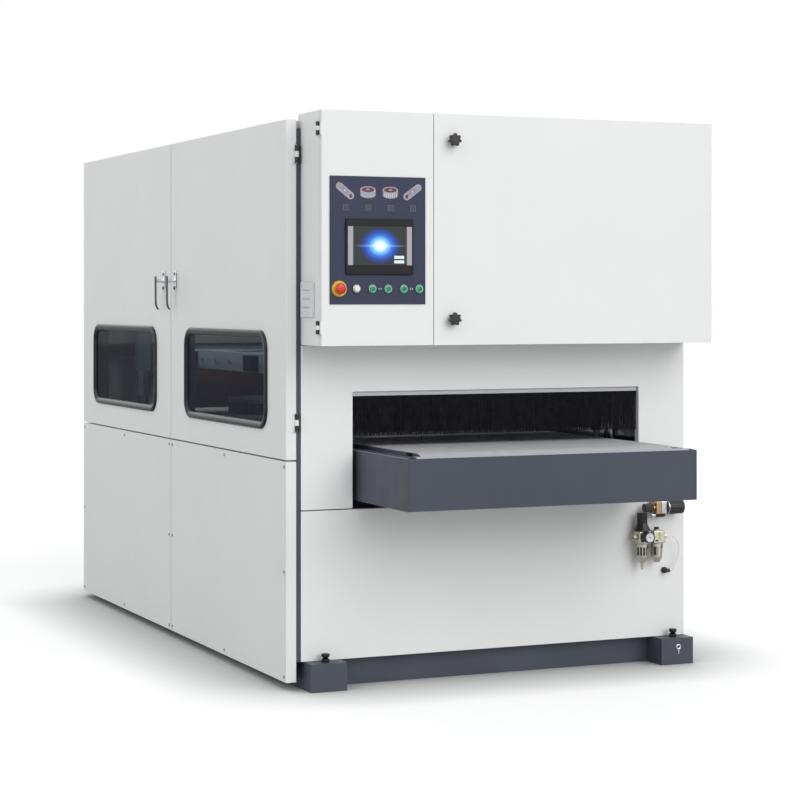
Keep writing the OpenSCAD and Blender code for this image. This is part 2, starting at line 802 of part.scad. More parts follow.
// Conveyor table: side and end plates, side caps, slider plate, cross members, bearings and end lips
module conveyor_bed() color(slate_paint) {
  hx = table_w / 2;
  in_x = hx - table_wall - gap;
  top = table_top_z;
  for (s = [-1, 1]) {
    difference() {
      block([mid_x + s * hx, -table_y, table_low_z], [mid_x + s * (hx - table_wall), table_y, top]);
      if (s > 0) rod_x([roller_y, roller_z], shaft_r + run_fit, mid_x, mid_x + table_w);
    }
    block([mid_x - in_x, s * table_y, table_low_z], [mid_x + in_x, s * (table_y - table_wall), top]);
    block([mid_x + s * in_x, table_wall + gap - table_y, member_top_z + gap],
          [mid_x + s * (belt_w / 2 + slider_over + side_cap_gap), table_y - table_wall - gap, top]);
    block([mid_x - hx + lip_corner, s * table_y, top + gap],
          [mid_x + hx - lip_corner, s * (table_y - lip_w), top + gap + lip_h]);
    for (e = [-1, 1]) difference() {
      block([mid_x + s * in_x, e * roller_y - bearing_w / 2, roller_z - bearing_w / 2],
            [mid_x + s * (in_x - bearing_t), e * roller_y + bearing_w / 2,
                roller_z + bearing_w / 2 - 2 * gap]);
      rod_x([e * roller_y, roller_z], shaft_r + run_fit, mid_x - table_w, mid_x + table_w);
    }
  }
  slider_x = belt_w / 2 + slider_over;
  slider_y = roller_y - roller_r - slider_end;
  block([mid_x - slider_x, -slider_y, member_top_z + gap],
      [mid_x + slider_x, slider_y, belt_z - belt_t - gap]);
  for (y = [-floor(slider_y / member_pitch):floor(slider_y / member_pitch)] )
    block([mid_x - in_x, y * member_pitch - member_w / 2, member_top_z - member_h],
          [mid_x + in_x, y * member_pitch + member_w / 2, member_top_z]);
}

module belt_core(r, x) {
  for (s = [-1, 1]) rod_x([s * roller_y, roller_z], r, mid_x - x, mid_x + x);
  block([mid_x - x, -roller_y, roller_z - r], [mid_x + x, roller_y, roller_z + r]);
}
module conveyor_belt() color(belt_grey) difference() {
  belt_core(roller_r + belt_t, belt_w / 2);
  belt_core(roller_r + gap, belt_w / 2 + cut);
}

// Gearbox and motor beside the outfeed end of the table
module conveyor_gearmotor() color(slate_paint) {
  x0 = mid_x + table_w / 2 + gap;
  box_y0 = roller_y - gearbox_h / 2;
  motor = [x0 + gearbox_w / 2, roller_z - gap];
  difference() {
    block([x0, box_y0, roller_z - gearbox_h / 2],
        [x0 + gearbox_w, roller_y + gearbox_h / 2, roller_z + gearbox_h / 2]);
    rod_x([roller_y, roller_z], shaft_r + run_fit, x0 - cut, x0 + gearbox_w + cut);
  }
  rod_y(motor, drive_motor_r, box_y0 - gap - drive_motor_l, box_y0 - gap);
  rod_y(motor, drive_cowl_r, box_y0 - 2 * gap - drive_motor_l - drive_cowl_l,
      box_y0 - 2 * gap - drive_motor_l);
}

module conveyor_roller(y, shaft_end) color(steel) {
  rod_x([y, roller_z], roller_r, mid_x - belt_w / 2 - roller_over, mid_x + belt_w / 2 + roller_over);
  rod_x([y, roller_z], shaft_r, mid_x - table_w / 2 + table_wall + gap, shaft_end);
}
module drive_roller() conveyor_roller(roller_y, mid_x + table_w / 2 + gearbox_w);
module idler_roller() conveyor_roller(-roller_y, mid_x + table_w / 2 - table_wall - gap);

// Curtain of bristle strands in two staggered layers under a holder bar
module strand_layer(x0, w, y, z_top, z_low) {
  pitch = w / strand_count;
  half_gap = pitch * (1 - strand_share) / 2;
  points = [for (i = [0:strand_count - 1], k = [0:3])
    [x0 + i * pitch + (k < 2 ? half_gap : pitch - half_gap),
     k == 0 || k == 3 ? z_top - backing_h : z_low + strand_wave * sin(i * strand_wave_step)]];
  translate([0, y + strand_t / 2, 0]) rotate([90, 0, 0]) linear_extrude(height = strand_t)
    polygon(concat([[x0, z_top], [x0, z_top - backing_h]], points,
        [[x0 + w, z_top - backing_h], [x0 + w, z_top]]));
}
module curtain(s) {
  w = mouth_w - 2 * curtain_end_gap;
  x0 = mid_x - w / 2;
  y_out = s * (half_d - holder_setback);
  y_in = y_out - s * holder_t;
  y_mid = (y_out + y_in) / 2;
  z1 = mouth_top_z - holder_h;
  color(white_paint) block([x0, y_out, z1 + gap], [x0 + w, y_in, mouth_top_z - gap]);
  color(black_plastic) {
    shift = w / strand_count / 2;
    strand_layer(x0, w - shift, y_mid - strand_layer_gap, z1, belt_z + passage_h);
    strand_layer(x0 + shift, w - shift, y_mid + strand_layer_gap, z1, belt_z + passage_h);
    block([x0, y_mid - strand_layer_gap, z1 - backing_h], [x0 + w, y_mid + strand_layer_gap, z1]);
  }
}
module front_curtain() curtain(-1);
module rear_curtain() curtain(1);

// Guide columns, and the jack housings that the lift rods run in
module lift_columns() color(steel) for (sx = [-1, 1], sy = [-1, 1]) {
  rod_z([mid_x + sx * column_x, sy * column_y], column_r, base_h + gap, frame_top_z - post_w - gap);
  x = mid_x + sx * lift_rod_x;
  y = sy * column_y;
  difference() {
    block([x - jack_w / 2, y - jack_w / 2, base_h + gap],
        [x + jack_w / 2, y + jack_w / 2, base_h + jack_h]);
    rod_z([x, y], lift_rod_r + run_fit, base_h, base_h + jack_h + cut);
  }
}
lift_rod_x = head_inner_x + head_beam_w / 2;

// Head: beams, sleeves, lift rods, end members, decks, hangers and disc housings
module head_frame() color(slate_paint) {
  x_in = head_inner_x - gap;
  for (s = [-1, 1]) {
    tube([mid_x + s * head_inner_x, -head_len_y, head_z],
        [mid_x + s * head_beam_x, head_len_y, head_top_z], 1);
    tube([mid_x - x_in, s * head_len_y, head_z],
        [mid_x + x_in, s * (head_len_y - head_beam_w), head_top_z], 0);
    for (e = [-1, 1]) {
      difference() {
        rod_z([mid_x + s * column_x, e * column_y], sleeve_r, head_z - jack_w / 2,
            head_z - jack_w / 2 + sleeve_h);
        rod_z([mid_x + s * column_x, e * column_y], column_r + run_fit, head_z - sleeve_h,
            head_z + 2 * sleeve_h);
      }
      rod_z([mid_x + s * lift_rod_x, e * column_y], lift_rod_r, lift_rod_z, head_z - gap);
      roller_hanger(s, e * roller_unit_y);
      hold_down_hanger(s, e * hold_down_y);
    }
    deck(s * roller_unit_y, roller_deck_w);
    disc_deck(s * disc_unit_y);
  }
}
module deck(y, w) block([gap + mid_x - head_inner_x, y - w / 2, head_top_z - deck_t],
                        [mid_x + head_inner_x - gap, y + w / 2, head_top_z]);
module disc_deck(y) {
  difference() {
    deck(y, disc_deck_w);
    for (s = [-1, 1]) rod_z([mid_x + s * disc_x, y], brush_shaft_r + run_fit, head_z, head_top_z + cut);
  }
  for (s = [-1, 1]) difference() {
    rod_z([mid_x + s * disc_x, y], disc_housing_r, head_top_z - deck_t - disc_housing_rise,
        head_top_z - deck_t - gap);
    rod_z([mid_x + s * disc_x, y], brush_shaft_r + run_fit, brush_z, head_top_z);
  }
}
module roller_hanger(s, y) difference() {
  block([mid_x + s * (head_inner_x - hanger_in), y - hanger_w / 2, hanger_low_z],
        [mid_x + s * (head_inner_x - hanger_in - hanger_t), y + hanger_w / 2, head_top_z - deck_t - gap]);
  rod_x([y, roller_brush_z], brush_shaft_r + run_fit, mid_x - table_w, mid_x + table_w);
}
module hold_down_hanger(s, y) difference() {
  block([mid_x + s * (head_inner_x - hanger_in), y - hold_down_r / 2, brush_z + hold_down_r / 2],
        [mid_x + s * (head_inner_x - hanger_in - hold_down_t), y + hold_down_r / 2, head_z - gap]);
  rod_x([y, brush_z + hold_down_r], hold_down_shaft_r + run_fit, mid_x - table_w, mid_x + table_w);
}

// Motors on the head's decks: lying ones with a belt guard for the rollers, upright ones for the discs
module brush_motors() color(slate_paint) for (s = [-1, 1]) {
  y = s * roller_unit_y;
  z = head_top_z + gap + motor_foot_h + roller_motor_r;
  end_x = mid_x + head_inner_x - hanger_in;
  guard_x = mid_x + head_beam_x + gap;
  rod_x([y, z], roller_motor_r, end_x - roller_motor_l, end_x);
  rod_x([y, z], roller_motor_r - cowl_in, end_x - roller_motor_l - cowl_h, end_x - roller_motor_l - gap);
  block([end_x - roller_motor_l, y - roller_motor_r, head_top_z + gap],
      [end_x, y + roller_motor_r, z - roller_motor_r / 2]);
  rod_x([y, z], motor_shaft_r, end_x, guard_x - gap);
  block([guard_x, y - guard_w / 2, roller_brush_z - guard_drop],
      [guard_x + guard_t, y + guard_w / 2, head_top_z + guard_rise]);
  d = s * disc_unit_y;
  case_top = head_top_z + gap + disc_case_h;
  difference() {
    block([mid_x - disc_case_l / 2, d - disc_case_w / 2, head_top_z + gap],
          [mid_x + disc_case_l / 2, d + disc_case_w / 2, case_top]);
    for (e = [-1, 1])
        rod_z([mid_x + e * disc_x, d], brush_shaft_r + run_fit, head_top_z, head_top_z + disc_case_h / 2);
  }
  rod_z([mid_x, d], disc_motor_r, case_top + gap, case_top + disc_motor_h);
  rod_z([mid_x, d], disc_motor_r - cowl_in, case_top + disc_motor_h + gap,
      case_top + disc_motor_h + cowl_h);
}

// Working brushes and hold-down rollers
module roller_brush(y) color(black_plastic) {
  rod_x([y, roller_brush_z], roller_brush_r, mid_x - belt_w / 2, mid_x + belt_w / 2);
  rod_x([y, roller_brush_z], brush_shaft_r, mid_x - head_inner_x + gap, mid_x + head_beam_x);
}
module front_roller_brush() roller_brush(-roller_unit_y);
module rear_roller_brush() roller_brush(roller_unit_y);
module disc_brush(x, y) {
  p = [mid_x + x, y];
  plate_z = brush_z + disc_bristle_h;
  color(black_plastic) rod_z(p, disc_r, brush_z, plate_z);
  color(steel) {
    rod_z(p, disc_r, plate_z, plate_z + disc_plate_t);
    rod_z(p, disc_hub_r, plate_z, plate_z + disc_plate_t + disc_hub_h);
    rod_z(p, brush_shaft_r, plate_z, head_top_z + disc_case_h / 2 - cut);
  }
}
module disc_brush_1() disc_brush(-disc_x, -disc_unit_y);
module disc_brush_2() disc_brush(disc_x, -disc_unit_y);
module disc_brush_3() disc_brush(-disc_x, disc_unit_y);
module disc_brush_4() disc_brush(disc_x, disc_unit_y);
module hold_down_roller(y) color(black_plastic) {
  x = head_inner_x - hanger_in;
  rod_x([y, brush_z + hold_down_r], hold_down_r, mid_x - belt_w / 2, mid_x + belt_w / 2);
  rod_x([y, brush_z + hold_down_r], hold_down_shaft_r, mid_x - x, mid_x + x);
}
module front_hold_down_roller() hold_down_roller(-hold_down_y);
module rear_hold_down_roller() hold_down_roller(hold_down_y);

// Left doors: folded sheet with a window, lock plate and the moving hinge leaves
function handle_y(s) = s > 0 ? rear_handle_y : -front_handle_y;
module left_door(s) color(white_paint) {
  wy = s * door_mid_y;
  y = handle_y(s);
  difference() {
    tray([cover_x0, s * door_y0, side_seam_z + seam / 2], [cover_x1, s * half_d, body_top_z], 0, true);
    round_slab(cover_x0 - cut, cover_x0 + sheet_t + cut, wy - window_w / 2 + window_lap,
        wy + window_w / 2 - window_lap,
               window_low_z + window_lap, window_low_z + window_h - window_lap, window_r - window_lap);
    rod_x([y, handle_z], spindle_r + run_fit, cover_x0 - cut, cover_x1);
  }
  difference() {
    block([cover_x0 - gap - lock_t, y - lock_w / 2, handle_z - lock_h / 2],
        [cover_x0 - gap, y + lock_w / 2, handle_z + lock_h / 2]);
    rod_x([y, handle_z], spindle_r + run_fit, cover_x0 - hub_l, cover_x1);
  }
  for (z = side_hinge_zs) side_hinge(s, z, true);
}
module left_front_door() left_door(-1);
module left_rear_door() left_door(1);

module window_frame(s) color(slate_paint) {
  wy = s * door_mid_y;
  y0 = wy - window_w / 2;
  y1 = wy + window_w / 2;
  z0 = window_low_z;
  z1 = window_low_z + window_h;
  neck = window_lap + window_gap;
  difference() {
    union() {
      round_slab(cover_x0 - window_proud, cover_x0 - run_fit, y0, y1, z0, z1, window_r);
      round_slab(cover_x0 - cut, cover_x0 + window_neck, y0 + neck, y1 - neck, z0 + neck, z1 - neck,
          window_r - neck);
    }
    round_slab(cover_x0 - window_proud - cut, cover_x0 + window_neck + cut, y0 + window_frame_w,
        y1 - window_frame_w,
               z0 + window_frame_w, z1 - window_frame_w, window_r - window_frame_w);
  }
}
module front_window_frame() window_frame(-1);
module rear_window_frame() window_frame(1);
module window_pane(s) color([0.12, 0.13, 0.15, 0.6]) {
  wy = s * door_mid_y;
  inset = window_frame_w + gap;
  round_slab(cover_x0 + pane_set, cover_x0 + pane_set + pane_t, wy - window_w / 2 + inset,
      wy + window_w / 2 - inset,
             window_low_z + inset, window_low_z + window_h - inset, window_r - inset);
}
module front_window_pane() window_pane(-1);
module rear_window_pane() window_pane(1);

// Lever handle with its hub, spindle and the tongue that turns behind the middle post
module door_handle(s) color(chrome) {
  y = handle_y(s);
  out = cover_x0 - handle_reach;
  low = handle_z - handle_len;
  tongue_x = frame_x0 + post_w + tongue_gap;
  rod_x([y, handle_z], hub_r, cover_x0 - 2 * gap - lock_t, out + lever_t / 2);
  rod_x([y, handle_z], spindle_r, out + lever_t / 2, tongue_x + tongue_t);
  translate([0, y + lever_w / 2, 0]) rotate([90, 0, 0]) linear_extrude(height = lever_w) polygon([
    [out, handle_z + lever_top], [out, low + lever_bend], [cover_x0 - lever_end_out - lever_t, low],
    [cover_x0 - lever_end_out, low + lever_t / 2], [out + lever_t, low + lever_bend + lever_t / 2],
    [out + lever_t, handle_z + lever_top]
  ]);
  block([tongue_x, y - tongue_w / 2, handle_z - tongue_w / 2],
      [tongue_x + tongue_t, y + tongue_w / 2, handle_z + tongue_len]);
}
module front_door_handle() door_handle(-1);
module rear_door_handle() door_handle(1);

// Control door, plate, screen and buttons
plate_x0 = body_x0 + control_plate_inset;
plate_y = front_y - gap;
plate_face_y = plate_y - control_plate_t;
screen_x0 = plate_x0 + screen_in;
screen_z0 = control_plate_z + control_plate_h - screen_drop - screen_h;
button_z = control_plate_z + button_rise;
button_xs = [for (i = [0:button_count - 1]) plate_x0 + first_button_in + i * button_pitch];
stop_x = plate_x0 + stop_in;
module control_door() {
  color(white_paint) difference() {
    tray([body_x0, front_y, cabinet_low_z], [seam_x - seam / 4, door_back_y, cabinet_top_z], 1, true);
    block([plate_x0 + control_lap, front_y - cut, control_plate_z + control_lap],
          [plate_x0 + control_plate_w - control_lap, front_y + sheet_t + cut,
              control_plate_z + control_plate_h - control_lap]);
  }
  color(black_plastic) for (z = cabinet_hinge_zs) cabinet_hinge(z, cabinet_moving_leaf_w, true);
}
module control_plate() color(slate_paint) difference() {
  union() {
    block([plate_x0, plate_face_y, control_plate_z],
        [plate_x0 + control_plate_w, plate_y, control_plate_z + control_plate_h]);
    for (x = button_xs) rod_y([x, button_z], bezel_r, plate_face_y - bezel_h, plate_y);
    rod_y([stop_x, button_z], collar_stop_r, plate_face_y - collar_stop_h, plate_y);
    for (x = concat([stop_x], button_xs))
      block([x - contact_w / 2, plate_y - run_fit, button_z - contact_w / 2],
          [x + contact_w / 2, plate_y + contact_d, button_z + contact_w / 2]);
  }
  for (x = button_xs)
      rod_y([x, button_z], button_r + run_fit, plate_face_y - bezel_h - cut, plate_y + contact_d / 2);
  rod_y([stop_x, button_z], stop_stem_r + run_fit, plate_face_y - collar_stop_h - cut,
      plate_y + contact_d / 2);
  block([screen_x0 + screen_lap - gap, plate_face_y - cut, screen_z0 + screen_lap - gap],
        [screen_x0 + screen_w - screen_lap + gap, plate_y + cut, screen_z0 + screen_h - screen_lap + gap]);
}
module touch_screen() color(black_plastic) difference() {
  union() {
    block([screen_x0, plate_face_y - gap - screen_proud, screen_z0],
        [screen_x0 + screen_w, plate_face_y - gap, screen_z0 + screen_h]);
    block([screen_x0 + screen_lap, plate_face_y - cut, screen_z0 + screen_lap],
          [screen_x0 + screen_w - screen_lap, plate_y + screen_body_d, screen_z0 + screen_h - screen_lap]);
  }
  block([screen_x0 + (screen_w - display_w) / 2, plate_face_y - gap - screen_proud - cut,
      screen_z0 + (screen_h - display_h) / 2],
        [screen_x0 + (screen_w + display_w) / 2, plate_face_y - gap - screen_proud + display_sink,
            screen_z0 + (screen_h + display_h) / 2]);
}
module push_button(i, c) color(c)
    rod_y([button_xs[i], button_z], button_r, plate_face_y - bezel_h - button_proud,
                                        plate_y + contact_d / 2 - button_travel - gap);
module start_button() push_button(0, [0.93, 0.94, 0.93]);
module green_button_1() push_button(1, [0.10, 0.55, 0.30]);
module green_button_2() push_button(2, [0.10, 0.55, 0.30]);
module green_button_3() push_button(3, [0.10, 0.55, 0.30]);
module green_button_4() push_button(4, [0.10, 0.55, 0.30]);
module emergency_stop() color([0.85, 0.12, 0.08]) {
  back = plate_face_y - collar_stop_h - stop_travel - gap;
  rod_y([stop_x, button_z], stop_r, back - stop_head_h, back);
  rod_y([stop_x, button_z], stop_stem_r, back, plate_y + contact_d / 2 - stop_travel - gap);
}

// Power door with its concealed pivot lugs, and its two star knobs
star_zs = [cabinet_low_z + star_inset, cabinet_top_z - star_inset];
star_x = seam_x + star_in;
module power_door() color(white_paint) {
  difference() {
    union() {
      tray([seam_x + seam / 4, front_y, cabinet_low_z], [body_x1, door_back_y, cabinet_top_z], 1, true);
      for (z = cabinet_hinge_zs)
        block([pivot_x - pivot_lug_r, front_y + sheet_t / 2, z + pivot_arm_h / 2 + gap],
              [body_x1 - sheet_t / 2, pivot_y + pivot_lug_r, z + pivot_arm_h / 2 + pivot_lug_h]);
    }
    for (z = cabinet_hinge_zs)
        rod_z([pivot_x, pivot_y], pivot_pin_r + run_fit, z, z + pivot_arm_h + pivot_lug_h);
    for (z = star_zs) rod_y([star_x, z], star_shaft_r + run_fit, front_y - cut, door_back_y);
  }
}
module star_knob(z) color(black_plastic) {
  y1 = front_y - star_off;
  y0 = y1 - star_h;
  rod_y([star_x, z], star_core_r, y0, y1);
  for (i = [0:star_lobes - 1]) {
    a = i * 360 / star_lobes;
    rod_y([star_x + (star_r - star_lobe_r) * sin(a), z + (star_r - star_lobe_r) * cos(a)], star_lobe_r,
        y0, y1);
  }
  rod_y([star_x, z], star_neck_r, y0, front_y - gap);
  rod_y([star_x, z], star_shaft_r, y0, shell_y0 + cabinet_sheet + cam_gap + cam_t);
  block([star_x - cam_w / 2, shell_y0 + cabinet_sheet + cam_gap, z - cam_len],
        [star_x + cam_w / 2, shell_y0 + cabinet_sheet + cam_gap + cam_t, z + cam_w / 2]);
}
module lower_star_knob() star_knob(star_zs[0]);
module upper_star_knob() star_knob(star_zs[1]);

// Air unit: filter regulator on the left, lubricator on the right
air_xs = [air_x, air_x + air_pitch];
air_top_z = air_port_z + air_body_up;
air_low_z = air_port_z - air_body_down;
module air_unit_body() color(cast_cream) difference() {
  union() {
    for (x = air_xs)
        block([x - air_body_w / 2, air_y - air_body_d / 2, air_low_z],
        [x + air_body_w / 2, air_y + air_body_d / 2, air_top_z]);
    block([air_x, air_y - air_link_w / 2, air_port_z - air_link_w / 2],
        [air_x + air_pitch, air_y + air_link_w / 2, air_port_z + air_link_w / 2]);
    block([air_x, air_y, air_port_z - bracket_w / 2],
        [air_x + air_pitch, -half_d - gap, air_port_z + bracket_w / 2]);
    rod_x([air_y, air_port_z], air_port_r, air_x - air_body_w / 2 - air_port_l, air_x);
    rod_x([air_y, air_port_z], out_port_r, air_x + air_pitch, out_port_x);
    translate([air_x, air_y, air_top_z]) cylinder(r1 = bonnet_r1, r2 = bonnet_r2, h = bonnet_h);
    rod_z([air_x, air_y], neck_r, air_top_z, air_top_z + bonnet_h + neck_h);
    rod_z([air_x + air_pitch, air_y], cap_r, air_top_z, air_top_z + cap_h);
  }
  rod_x([air_y, air_port_z], inlet_tube_r + run_fit, inlet_x - cut, inlet_x + air_port_l + gap);
}
inlet_x = air_x - air_body_w / 2 - air_port_l;
out_port_x = air_x + air_pitch + air_body_w / 2 + out_port_l;
module air_unit_bowls() color([0.85, 0.84, 0.72]) for (x = air_xs) {
  rod_z([x, air_y], bowl_r, air_low_z - gap - bowl_h, air_low_z - gap);
  translate([x, air_y, air_low_z - gap - bowl_h - bowl_cone_h])
      cylinder(r1 = bowl_tip_r, r2 = bowl_r, h = bowl_cone_h);
  if (x == air_x)
      rod_z([x, air_y], drain_r, air_low_z - gap - bowl_h - bowl_cone_h - drain_h, air_low_z - bowl_h);
}
module pressure_gauge() color(black_plastic) {
  y1 = air_y - air_body_d / 2 - gap;
  rod_y([air_x, air_port_z], gauge_stem_r, y1 - gauge_stem_l, y1);
  rod_y([air_x, air_port_z], gauge_r, y1 - gauge_stem_l - gauge_l, y1 - gauge_stem_l);
}
module regulator_knob() color(black_plastic) {
  z0 = air_top_z + bonnet_h + gap;
  difference() {
    union() {
      rod_z([air_x, air_y], regulator_knob_r - rib_r, z0, z0 + knob_h);
      for (i = [0:rib_count - 1]) rod_z([air_x + (regulator_knob_r - rib_r) * cos(i * 360 / rib_count),
        air_y + (regulator_knob_r - rib_r) * sin(i * 360 / rib_count)], rib_r, z0, z0 + knob_h);
    }
    rod_z([air_x, air_y], neck_r + run_fit, z0 - cut, z0 + neck_h);
  }
}

// Speed valve under the table and the elbow that takes the clear tube
valve_y = -half_d - valve_out;
module air_fittings() {
  color(cast_cream) {
    block([valve_x - valve_w / 2, valve_y - valve_d / 2, valve_z - valve_h / 2],
        [valve_x + valve_w / 2, -half_d - gap, valve_z + valve_h / 2]);
    rod_x([valve_y, valve_z], valve_stem_r, valve_x, valve_x + valve_w / 2 + valve_stem_l);
    rod_x([valve_y, valve_z - valve_tail_drop], valve_tail_r, valve_x - valve_tail_l,
        valve_x + valve_w / 2);
  }
  color(black_plastic)
      rod_x([valve_y, valve_z], valve_port_r, valve_x - valve_w / 2 - valve_port_l, valve_x - valve_w / 2);
  color(black_plastic) {
    rod_y([elbow_x, elbow_z], elbow_r, -half_d - gap - elbow_l, -half_d - gap);
    rod_y([elbow_x, elbow_z], elbow_arm_r, -half_d - elbow_out - elbow_arm_r, -half_d - gap);
    rod_x([-half_d - elbow_out, elbow_z], elbow_arm_r, elbow_x, elbow_x + elbow_arm_l);
  }
}
module valve_knob() color(black_plastic) difference() {
  x0 = valve_x + valve_w / 2 + gap;
  union() {
    rod_x([valve_y, valve_z], valve_knob_r - rib_r, x0, x0 + valve_knob_l);
    for (i = [0:rib_count - 1]) rod_x([valve_y + (valve_knob_r - rib_r) * cos(i * 360 / rib_count),
      valve_z + (valve_knob_r - rib_r) * sin(i * 360 / rib_count)], rib_r, x0, x0 + valve_knob_l);
  }
  rod_x([valve_y, valve_z], valve_stem_r + run_fit, x0 - cut, x0 + valve_stem_l);
}

// Clear tube: rings square to a smooth curve through the route
function route_at(i) = tube_route[max(0, min(len(tube_route) - 1, i))];
function curve(i, t) = let (a = route_at(i - 1), b = route_at(i), c = route_at(i + 1), d = route_at(i + 2))
  (2 * b + (c - a) * t + (2 * a - 5 * b + 4 * c - d) * t * t + (3 * b - a - 3 * c + d) * t * t * t) / 2;
tube_line = [for (i = [0:len(tube_route) - 2], k = [0:tube_steps - 1]) curve(i, k / tube_steps),
    route_at(len(tube_route))];
function unit(v) = v / norm(v);
function tangent(i) = i == 0 || i == len(tube_line) - 1 ? [i == 0 ? 1 : -1, 0, 0]
  : unit(tube_line[i + 1] - tube_line[i - 1]);
module air_tube() color([0.85, 0.88, 0.90, 0.6]) {
  n = len(tube_line);
  points = [for (i = [0:n - 1], k = [0:tube_sides - 1])
    let (v = unit(cross(tangent(i), [0, 1, 0])), w = cross(v, tangent(i)), a = k * 360 / tube_sides)
    tube_line[i] + tube_r * (v * cos(a) + w * sin(a))];
  sides = [for (i = [0:n - 2], k = [0:tube_sides - 1])
    let (p = i * tube_sides + k, q = i * tube_sides + (k + 1) % tube_sides)
        [p, q, q + tube_sides, p + tube_sides]];
  polyhedron(points, concat([[for (k = [0:tube_sides - 1]) tube_sides - 1 - k]], sides,
                            [[for (k = [0:tube_sides - 1]) (n - 1) * tube_sides + k]]));
}

base_frame();
foot_hardware();
upper_frame();
roof_panel();
front_upper_panel();
front_lower_panel();
rear_upper_panel();
rear_lower_panel();
left_lower_panels();
right_side_panels();
panel_screws();
electrical_cabinet();
electrical_components();
document_pocket();
fixed_hinge_leaves();
conveyor_bed();
conveyor_belt();
conveyor_gearmotor();
drive_roller();
idler_roller();
front_curtain();
rear_curtain();
lift_columns();
head_frame();
brush_motors();
front_roller_brush();
rear_roller_brush();
disc_brush_1();
disc_brush_2();
disc_brush_3();
disc_brush_4();
front_hold_down_roller();
rear_hold_down_roller();
left_front_door();
left_rear_door();
front_window_frame();
rear_window_frame();
front_window_pane();
rear_window_pane();
front_door_handle();
rear_door_handle();
control_door();
control_plate();
touch_screen();
emergency_stop();
start_button();
green_button_1();
green_button_2();
green_button_3();
green_button_4();
power_door();
upper_star_knob();
lower_star_knob();
air_unit_body();
air_unit_bowls();
pressure_gauge();
regulator_knob();
air_fittings();
valve_knob();
air_tube();
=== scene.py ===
"""Looks of a brush sanding machine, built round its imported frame."""

import json
import math
import random

import bpy
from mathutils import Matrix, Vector


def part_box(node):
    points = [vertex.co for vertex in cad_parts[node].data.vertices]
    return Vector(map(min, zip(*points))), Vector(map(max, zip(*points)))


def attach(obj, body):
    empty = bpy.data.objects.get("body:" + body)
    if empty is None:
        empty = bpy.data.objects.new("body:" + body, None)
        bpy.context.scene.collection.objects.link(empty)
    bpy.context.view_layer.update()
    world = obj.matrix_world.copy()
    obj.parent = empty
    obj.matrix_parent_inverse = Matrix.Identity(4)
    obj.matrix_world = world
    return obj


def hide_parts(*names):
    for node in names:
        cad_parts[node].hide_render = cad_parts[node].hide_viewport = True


bl_info = {
    "name": "Brush sanding machine",
    "version": (1, 0, 0),
    "blender": (4, 5, 0),
    "location": "View3D > Sidebar > Sander",
    "description": "Models a through-feed brush sander round its packed frame",
    "category": "Object",
}

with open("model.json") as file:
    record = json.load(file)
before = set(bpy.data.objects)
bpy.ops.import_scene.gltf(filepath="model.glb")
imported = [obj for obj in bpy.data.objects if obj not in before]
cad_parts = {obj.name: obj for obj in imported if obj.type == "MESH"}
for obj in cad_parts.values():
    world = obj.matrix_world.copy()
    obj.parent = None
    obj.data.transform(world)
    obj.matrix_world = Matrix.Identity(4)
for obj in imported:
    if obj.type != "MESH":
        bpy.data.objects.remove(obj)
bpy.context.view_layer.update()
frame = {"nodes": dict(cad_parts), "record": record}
NODES = frame["nodes"]
BODY_OF = {n: b for b, ns in frame["record"]["behaviour"]["bodies"].items() for n in ns}
MM = 0.001
EVEN_SHADING_LIMIT = 30000

# Faces of the machine that details stand on, in metres
PLATE_FACE = -1.6133
DOOR_FACE = -0.835
AIR_UNIT_WALL = -1.4003
HEAD_BEAM_FACE = -0.5986


# Sizes and colours that a user would change


def shade(name, text, value):
    return bpy.props.FloatVectorProperty(
        name=name, description=text, subtype="COLOR", size=3, min=0, max=1, default=value
    )


def length(name, text, value):
    return bpy.props.FloatProperty(
        name=name, description=text, unit="LENGTH", subtype="DISTANCE", min=0, default=value
    )


class SanderColours(bpy.types.PropertyGroup):
    """Colours of the machine's finishes."""

    panels: shade("Panels", "Powder coat of panels and doors", (0.8, 0.8, 0.795))
    table: shade("Table", "Powder coat of the table and control plate", (0.06, 0.069, 0.092))
    base: shade("Base", "Powder coat of the base and frame", (0.06, 0.068, 0.088))
    machinery: shade("Machinery", "Paint of motors and the brush head", (0.27, 0.33, 0.39))
    belt: shade("Belt", "Carrying face of the belt", (0.4, 0.405, 0.415))
    bristles: shade("Bristles", "Bristles of curtains and brushes", (0.011, 0.011, 0.013))


class SanderSizes(bpy.types.PropertyGroup):
    """Sizes of small details."""

    fold_radius: length("Fold radius", "Outer radius of a panel's folded edges", 0.0018)
    tube_radius: length("Tube edges", "Outer radius of the frame tubes' edges", 0.004)


# Ways of making a piece


def alone(*pieces):
    """Selects only these pieces, with the first one active."""
    bpy.ops.object.select_all(action="DESELECT")
    for piece in pieces:
        piece.select_set(True)
    bpy.context.view_layer.objects.active = pieces[0]


def settle(piece):
    """Puts a piece's place, turn and scale into its mesh."""
    alone(piece)
    bpy.ops.object.transform_apply(location=True, rotation=True, scale=True)
    return piece


def joined(pieces):
    """Joins pieces into the first one."""
    alone(*pieces)
    if len(pieces) > 1:
        bpy.ops.object.join()
    return bpy.context.object


def reworked(piece, *steps):
    """Runs steps of edit mode, each on the whole of a piece's mesh."""
    alone(piece)
    bpy.ops.object.mode_set(mode="EDIT")
    for step in steps:
        bpy.ops.mesh.select_all(action="SELECT")
        step()
    bpy.ops.object.mode_set(mode="OBJECT")
    return piece


def face_out():
    """Turns the selected faces outwards."""
    bpy.ops.mesh.normals_make_consistent(inside=False)


